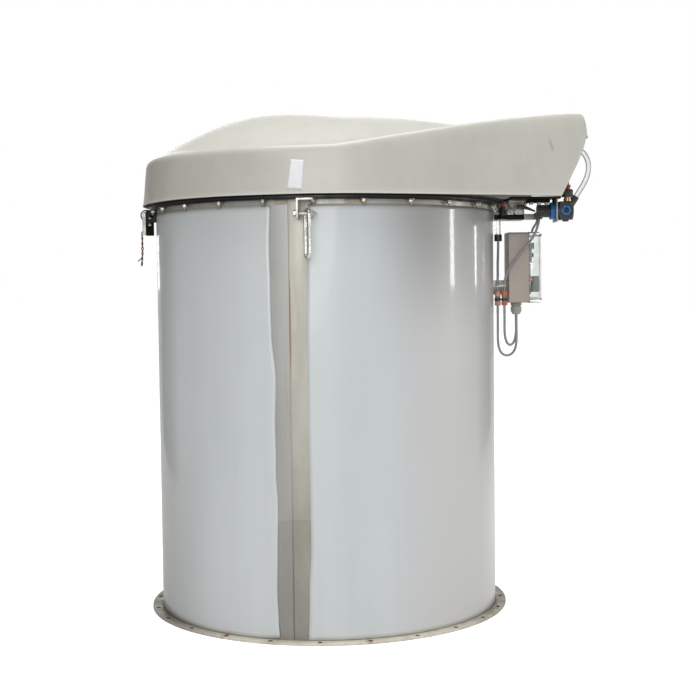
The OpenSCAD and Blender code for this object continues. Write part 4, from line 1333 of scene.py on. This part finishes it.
def makeArmTrim():  # carried by the cover
    dark = bmesh.new()
    block(dark, *armTrim["block"], soft=0.0015)
    block(dark, *armTrim["post"])
    makePiece("armBlock", dark, "cover", "rubber")
    blockPiece("armPlate", [armTrim["plate"]], "cover", "bracketSteel")
    bolts = bmesh.new()
    for x in armTrim["boltX"]:
        seat = along((x, armTrim["boltY"], armTrim["block"][0][2]), (0, 0, -1))
        addBolt(bolts, seat, 0.0042, 0.0036, 0.0062)
    makePiece("armBolts", bolts, "cover", "zinc")
    lever = bmesh.new()
    route = smoothRoute(armTrim["lever"], 6)
    capEnds(lever, sweep(lever, route, [leverRadius(k / (len(route) - 1)) for k in range(len(route))], 14))
    stem = smoothRoute(armTrim["rod"], 4)
    capEnds(lever, sweep(lever, stem, [armTrim["rodRadius"]] * len(stem), 10))
    lathe(lever, hexHead(0.0052, 0.0052), along(armTrim["pivot"], (0, -1, 0)), 6)
    makePiece("latchLever", lever, "cover", "blackPlastic")


makeArmTrim()
print("hinge fittings made")


# push-in fitting on the regulator: brass neck, ribbed nut and red collar

regTrim = dict(
    place=(0.562, -0.114, 0.9472), ribs=24, ribDeep=0.0007, ribbedFrom=0.0130, nutLow=0.0100,
    neck=((0, 0), (0.0080, 0), (0.0086, 0.0008), (0.0086, 0.0062), (0.0080, 0.0070), (0.0072, 0.0072),
          (0.0072, 0.0098), (0, 0.0098)),
    nut=((0.0122, 0), (0.0134, 0.0010), (0.0134, 0.0160), (0.0122, 0.0172), (0.0106, 0.0180)),
    collar=((0.0041, 0.0280), (0.0066, 0.0280), (0.0066, 0.0318), (0.0080, 0.0334), (0.0080, 0.0372),
            (0.0074, 0.0382), (0.0041, 0.0382)),
)


def makeRegTrim():
    place = upright(*regTrim["place"])
    brass = bmesh.new()
    lathe(brass, regTrim["neck"], place, 32)
    makePiece("fittingNeck", brass, "cover", "brass")
    nut = bmesh.new()
    rings = []
    sides = regTrim["ribs"] * 4
    for radius, height in regTrim["nut"]:
        proud = circle(radius, sides)
        cut = circle(radius - regTrim["ribDeep"], sides) if radius > regTrim["ribbedFrom"] else proud
        spots = [cut[k] if k % 4 in (2, 3) else proud[k] for k in range(sides)]
        rings.append([nut.verts.new(place @ Vector((x, y, regTrim["nutLow"] + height))) for x, y in spots])
    joinRows(nut, rings, closed=True)
    capEnds(nut, rings)
    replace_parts(makePiece("fittingNut", nut, "cover", "blackPlastic", 50), "tube_elbow")
    collar = bmesh.new()
    lathe(collar, regTrim["collar"], place, 32)
    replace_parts(makePiece("fittingCollar", collar, "cover", "redPlastic"), "elbow_ring")


makeRegTrim()


# control box: panel and parts behind the clear lid, lid screws, gland, tie and unions

boxParts = dict(
    panel=(((0.4831, -0.0440, 0.7260), (0.4852, 0.0240, 0.8670)),
           ((0.4852, -0.0440, 0.7190), (0.5050, 0.0240, 0.7260))),
    relays=(((0.4852, -0.0440, 0.8400), (0.4960, -0.0250, 0.8550)),
            ((0.4852, -0.0430, 0.8200), (0.4950, -0.0260, 0.8310)),
            ((0.4852, -0.0150, 0.8080), (0.5000, 0.0160, 0.8560)),
            ((0.4852, -0.0440, 0.8080), (0.4878, -0.0400, 0.8120))),
    rail=((0.4852, -0.0445, 0.7330), (0.4880, -0.0405, 0.8060)),
    lamp=((0.4835, -0.0460, 0.7640), (0.4920, -0.0400, 0.7720)),
    terminals=((0.4930, -0.0420, 0.7380), (0.5070, 0.0180, 0.7760)), ways=9, firstWay=0.0035, wayStep=0.0064,
)


def makeBoxParts():
    panel = blockPiece("boxPanel", boxParts["panel"], "filter_body", "panel")
    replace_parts(panel, "box_board")
    blockPiece("boxRelays", boxParts["relays"], "filter_body", "blackPlastic")
    grey = bmesh.new()
    block(grey, *boxParts["rail"])
    block(grey, *boxParts["terminals"])
    (backX, firstY, lowZ), (faceX, lastY, highZ) = boxParts["terminals"]
    for k in range(boxParts["ways"]):  # a screw and a parting line for each way
        y = firstY + boxParts["firstWay"] + k * boxParts["wayStep"]
        lathe(grey, disc(0.0021, 0.0006), along((faceX, y, highZ - 0.008), (1, 0, 0)), 12)
        block(grey, (faceX - 0.0002, y - 0.0003, lowZ + 0.002), (faceX + 0.0008, y + 0.0003, highZ - 0.002),
              soft=0)
    makePiece("boxTerminals", grey, "filter_body", "terminal")
    blockPiece("boxLamp", [boxParts["lamp"]], "filter_body", "orangePlastic", 0.0015)


makeBoxParts()

boxTrim = dict(
    seal=dict(x=0.4830, y=(-0.0506, 0.0306), z=(0.7124, 0.8806), width=0.0012, deep=0.0030, soft=0.0002),
    screws=((-0.0430, 0.7205), (0.0230, 0.7205), (-0.0430, 0.8725), (0.0230, 0.8725)), face=0.5120,
    screwHead=((0, 0), (0.0040, 0), (0.0040, 0.0009), (0.0034, 0.0014), (0.0012, 0.0014), (0.0010, 0.0006),
               (0, 0.0006)),
    shank=0.0018, shankLong=0.0285, gland=(0.457, -0.010, 0.7130), ribs=12,
    dome=((0, -0.0282), (0.0086, -0.0282), (0.0094, -0.0276), (0.0104, -0.0250), (0.0116, -0.0205),
          (0.0121, -0.0160), (0.0119, -0.0110), (0.0110, -0.0080), (0.0104, -0.0070), (0, -0.0070)),
    rib=((0.0112, -0.0009, -0.0215), (0.0126, 0.0009, -0.0105)), ribSoft=0.0005,
)


def makeSeal():  # thin frame between box and lid
    spec = boxTrim["seal"]
    (yLow, yHigh), (zLow, zHigh), deep = spec["y"], spec["z"], spec["deep"]
    xLow, xHigh = spec["x"] - spec["width"] / 2, spec["x"] + spec["width"] / 2
    bars = (((yLow, zLow), (yHigh, zLow + deep)), ((yLow, zHigh - deep), (yHigh, zHigh)),
            ((yLow, zLow), (yLow + deep, zHigh)), ((yHigh - deep, zLow), (yHigh, zHigh)))
    boxes = [((xLow, *low), (xHigh, *high)) for low, high in bars]
    blockPiece("lidSeal", boxes, "filter_body", "terminal", spec["soft"])


def makeBoxTrim():
    makeSeal()
    screws = bmesh.new()
    for y, z in boxTrim["screws"]:
        seat = along((boxTrim["face"], y, z), (1, 0, 0))
        lathe(screws, boxTrim["screwHead"], seat, 24)
        lathe(screws, disc(boxTrim["shank"], boxTrim["shankLong"], -boxTrim["shankLong"]), seat, 12)
    makePiece("lidScrews", screws, "filter_body", "zinc")
    gland = bmesh.new()
    top = upright(*boxTrim["gland"])
    lathe(gland, hexHead(0.0140, 0.0070), top @ upright(0, 0, -0.0072), 6, 0.2)
    lathe(gland, boxTrim["dome"], top, 48)
    for k in range(boxTrim["ribs"]):  # grip ribs
        turn = Matrix.Rotation(2 * math.pi * k / boxTrim["ribs"], 4, "Z")
        block(gland, *boxTrim["rib"], top @ turn, boxTrim["ribSoft"])
    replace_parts(makePiece("glandNut", gland, "filter_body", "glandPlastic"), "box_gland")


makeBoxTrim()

bundle = dict(
    left=(0.408, -0.046), right=(0.424, -0.046), sleeves=((0.7290, 0.7400), (0.7085, 0.7160)),
    sleeveForm=(0.0062, 0.0069, 0.0071), ringForm=(0.0062, 0.0074, 0.0078, 0.7182, 0.7242),
    tieZ=0.7520, tieHigh=0.0034, tieThick=0.0011, tieReach=0.0036, tieHalf=0.0080, tieLean=0.12, tieSides=48,
    tieHead=((-0.0030, -0.0535, -0.0008), (0.0030, -0.0494, 0.0042)),
    tieTail=((-0.0012, -0.0600, 0.0004), (0.0012, -0.0530, 0.0014)),
)


def makeUnionSleeves():
    orange, peach, dark = bmesh.new(), bmesh.new(), bmesh.new()
    for mesh, (x, y) in ((peach, bundle["left"]), (orange, bundle["right"])):
        for low, high in bundle["sleeves"]:
            lathe(mesh, sleeve(*bundle["sleeveForm"], low, high), upright(x, y, 0), 28)
        lathe(dark, sleeve(*bundle["ringForm"]), upright(x, y, 0), 28)
    makePiece("unionSleeveLeft", peach, "filter_body", "peachPlastic")
    makePiece("unionSleeveRight", orange, "filter_body", "orangePlastic")
    makePiece("unionRings", dark, "filter_body", "blackPlastic")


def makeCableTie():  # slanted band round both lines, with its head and tail
    tie = bmesh.new()
    middle = (bundle["left"][0] + bundle["right"][0]) / 2
    thick, high = bundle["tieThick"], bundle["tieHigh"]
    rings = []
    for grow, rise in ((0, 0), (thick, 0), (thick, high), (0, high)):
        ring = []
        for x, y in circle(bundle["tieReach"] + grow, bundle["tieSides"]):
            toSide = bundle["tieHalf"] if x > 0 else -bundle["tieHalf"]
            z = bundle["tieZ"] + rise + bundle["tieLean"] * (toSide + x)
            ring.append(tie.verts.new((middle + toSide + x, bundle["left"][1] + y, z)))
        rings.append(ring)
    joinRows(tie, rings + rings[:1], closed=True)
    place = upright(middle, 0, bundle["tieZ"])
    block(tie, *bundle["tieHead"], place)
    block(tie, *bundle["tieTail"], place, 0.0002)
    makePiece("cableTie", tie, "filter_body", "tieWhite")


makeUnionSleeves()
makeCableTie()
print("control box and unions dressed")


# latch bracket: front face, dark side and bolts

latchTrim = dict(face=((-0.4345, -0.0205, 0.8850), (-0.4265, -0.0180, 0.9400)),
                 side=((-0.4263, -0.0195, 0.8850), (-0.4195, -0.0120, 0.9370)), sideSoft=0.001,
                 nutY=-0.0155, nutZ=(0.9250, 0.9090))


def makeLatchTrim():
    blockPiece("latchFace", [latchTrim["face"]], "filter_body", "bracketSteel")
    blockPiece("latchPad", [latchTrim["side"]], "filter_body", "rubber",
               latchTrim["sideSoft"])
    nuts = bmesh.new()
    for z in latchTrim["nutZ"]:
        seat = along((latchTrim["side"][1][0], latchTrim["nutY"], z), (1, 0, 0))
        addBolt(nuts, seat, 0.0032, 0.0030, 0.0048, 0.002)
    makePiece("latchNuts", nuts, "filter_body", "zinc")


makeLatchTrim()


# torn tape left on the bare band above the film

tapeLook = dict(columns=40, rows=6, radius=0.4013, ragged=0.0028, tornEnd=0.35, flutter=0.0003,
                thickness=0.0002)
tapes = dict(
    tapeLeft=dict(bearing=(-105.6, -101.0), z=(0.9300, 0.9392), seed=2.0),
    tapeRight=dict(bearing=(-84.0, -78.2), z=(0.9285, 0.9392), seed=5.0),
)


def tapeSpot(spec, i, j):
    start, stop = spec["bearing"]
    bearing = start + (stop - start) * i / tapeLook["columns"]
    if i in (0, tapeLook["columns"]):
        bearing += tapeLook["tornEnd"] * noise.noise(Vector((j * 0.9, spec["seed"], i)))
    bearing = math.radians(bearing)
    low = spec["z"][0] + noise.noise(Vector((i * 0.35, spec["seed"], 0))) * tapeLook["ragged"]
    z = low + (spec["z"][1] - low) * j / tapeLook["rows"]
    radius = tapeLook["radius"] + tapeLook["flutter"] * noise.noise(Vector((i * 0.2, j * 0.5, spec["seed"])))
    return radius * math.cos(bearing), radius * math.sin(bearing), z


def makeTapes():
    for name, spec in tapes.items():
        mesh = bmesh.new()
        grid = []
        for j in range(tapeLook["rows"] + 1):
            grid.append([mesh.verts.new(tapeSpot(spec, i, j)) for i in range(tapeLook["columns"] + 1)])
        joinRows(mesh, grid)
        thicken(makePiece(name, mesh, "filter_body", "tape", 60), tapeLook["thickness"], -1)


makeTapes()
print("latch and tape made")


# finish and eased edges of every CAD node

nodeFinish = dict(
    body_shell="bodySteel", base_flange="flange", top_flange="blackSteel", tube_sheet="sheet",
    rim_gasket="rubber", cartridge_media="felt", cartridge_collars="collar", cartridge_caps="collar",
    hood="gelcoat", hood_frame="blackSteel", air_tank="tankSteel", tank_brackets="tankSteel",
    # hinge_plate is black as painted shade of its shadowed underside and edge
    hinge_plate="blackSteel", hinge_arms="bracketSteel", hinge_bracket="bracketSteel", hinge_pin="zinc",
    lug_front="zinc", lug_back="zinc", lug_pin_front="zinc", lug_pin_back="zinc", link_front="bright",
    link_back="bright", latch_bracket="blackSteel", latch_lug="blackSteel", tie_wire="wire",
    box_bracket="bracketSteel", box_base="boxPlastic", box_lid="clear", box_board="board",
    box_gland="glandPlastic", line_clip="blackPlastic", clear_sleeve="clear", sleeve_reducer="blackPlastic",
    line_unions="terminal", line_left="cable", line_right="cable", line_top="cable",
    regulator_plate="bracketSteel", regulator_body="blackPlastic", regulator_ring="bluePlastic",
    regulator_knob="blackPlastic", regulator_port="bluePlastic", tube_elbow="blackPlastic",
    elbow_ring="redPlastic", air_tube="hose",
)
easedNodes = dict(
    hinge_plate=0.0008, hinge_arms=0.0008, hinge_bracket=0.0008, hinge_pin=0.0006, lug_front=0.0008,
    lug_back=0.0008, latch_bracket=0.0007, latch_lug=0.0007, box_bracket=0.0008, box_base=0.0016,
    box_lid=0.0012,
    box_gland=0.0008, line_clip=0.001, sleeve_reducer=0.0012, line_unions=0.001, regulator_plate=0.0006,
    regulator_body=0.0012, regulator_ring=0.001, regulator_knob=0.0014, regulator_port=0.0008,
    tube_elbow=0.0008,
    elbow_ring=0.001, air_tank=0.004, tank_brackets=0.0008, base_flange=0.0006, cartridge_collars=0.0015,
    cartridge_caps=0.002,
)
easeAngle, splitAngle = math.radians(40), math.radians(38)


def dressNodes():
    for name, piece in nodes.items():
        piece.data.materials.clear()
        piece.data.materials.append(finishes[nodeFinish[name]])
        piece.data.polygons.foreach_set("use_smooth", [True] * len(piece.data.polygons))
        weldUp = piece.modifiers.new("weld", "WELD")
        weldUp.merge_threshold = 0.00001
        if name in easedNodes:
            ease = piece.modifiers.new("ease", "BEVEL")
            ease.width = easedNodes[name]
            ease.segments = 2
            ease.limit_method = "ANGLE"
            ease.angle_limit = easeAngle
        smooth = piece.modifiers.new("edges", "EDGE_SPLIT")
        smooth.split_angle = splitAngle


dressNodes()
print("CAD nodes dressed")
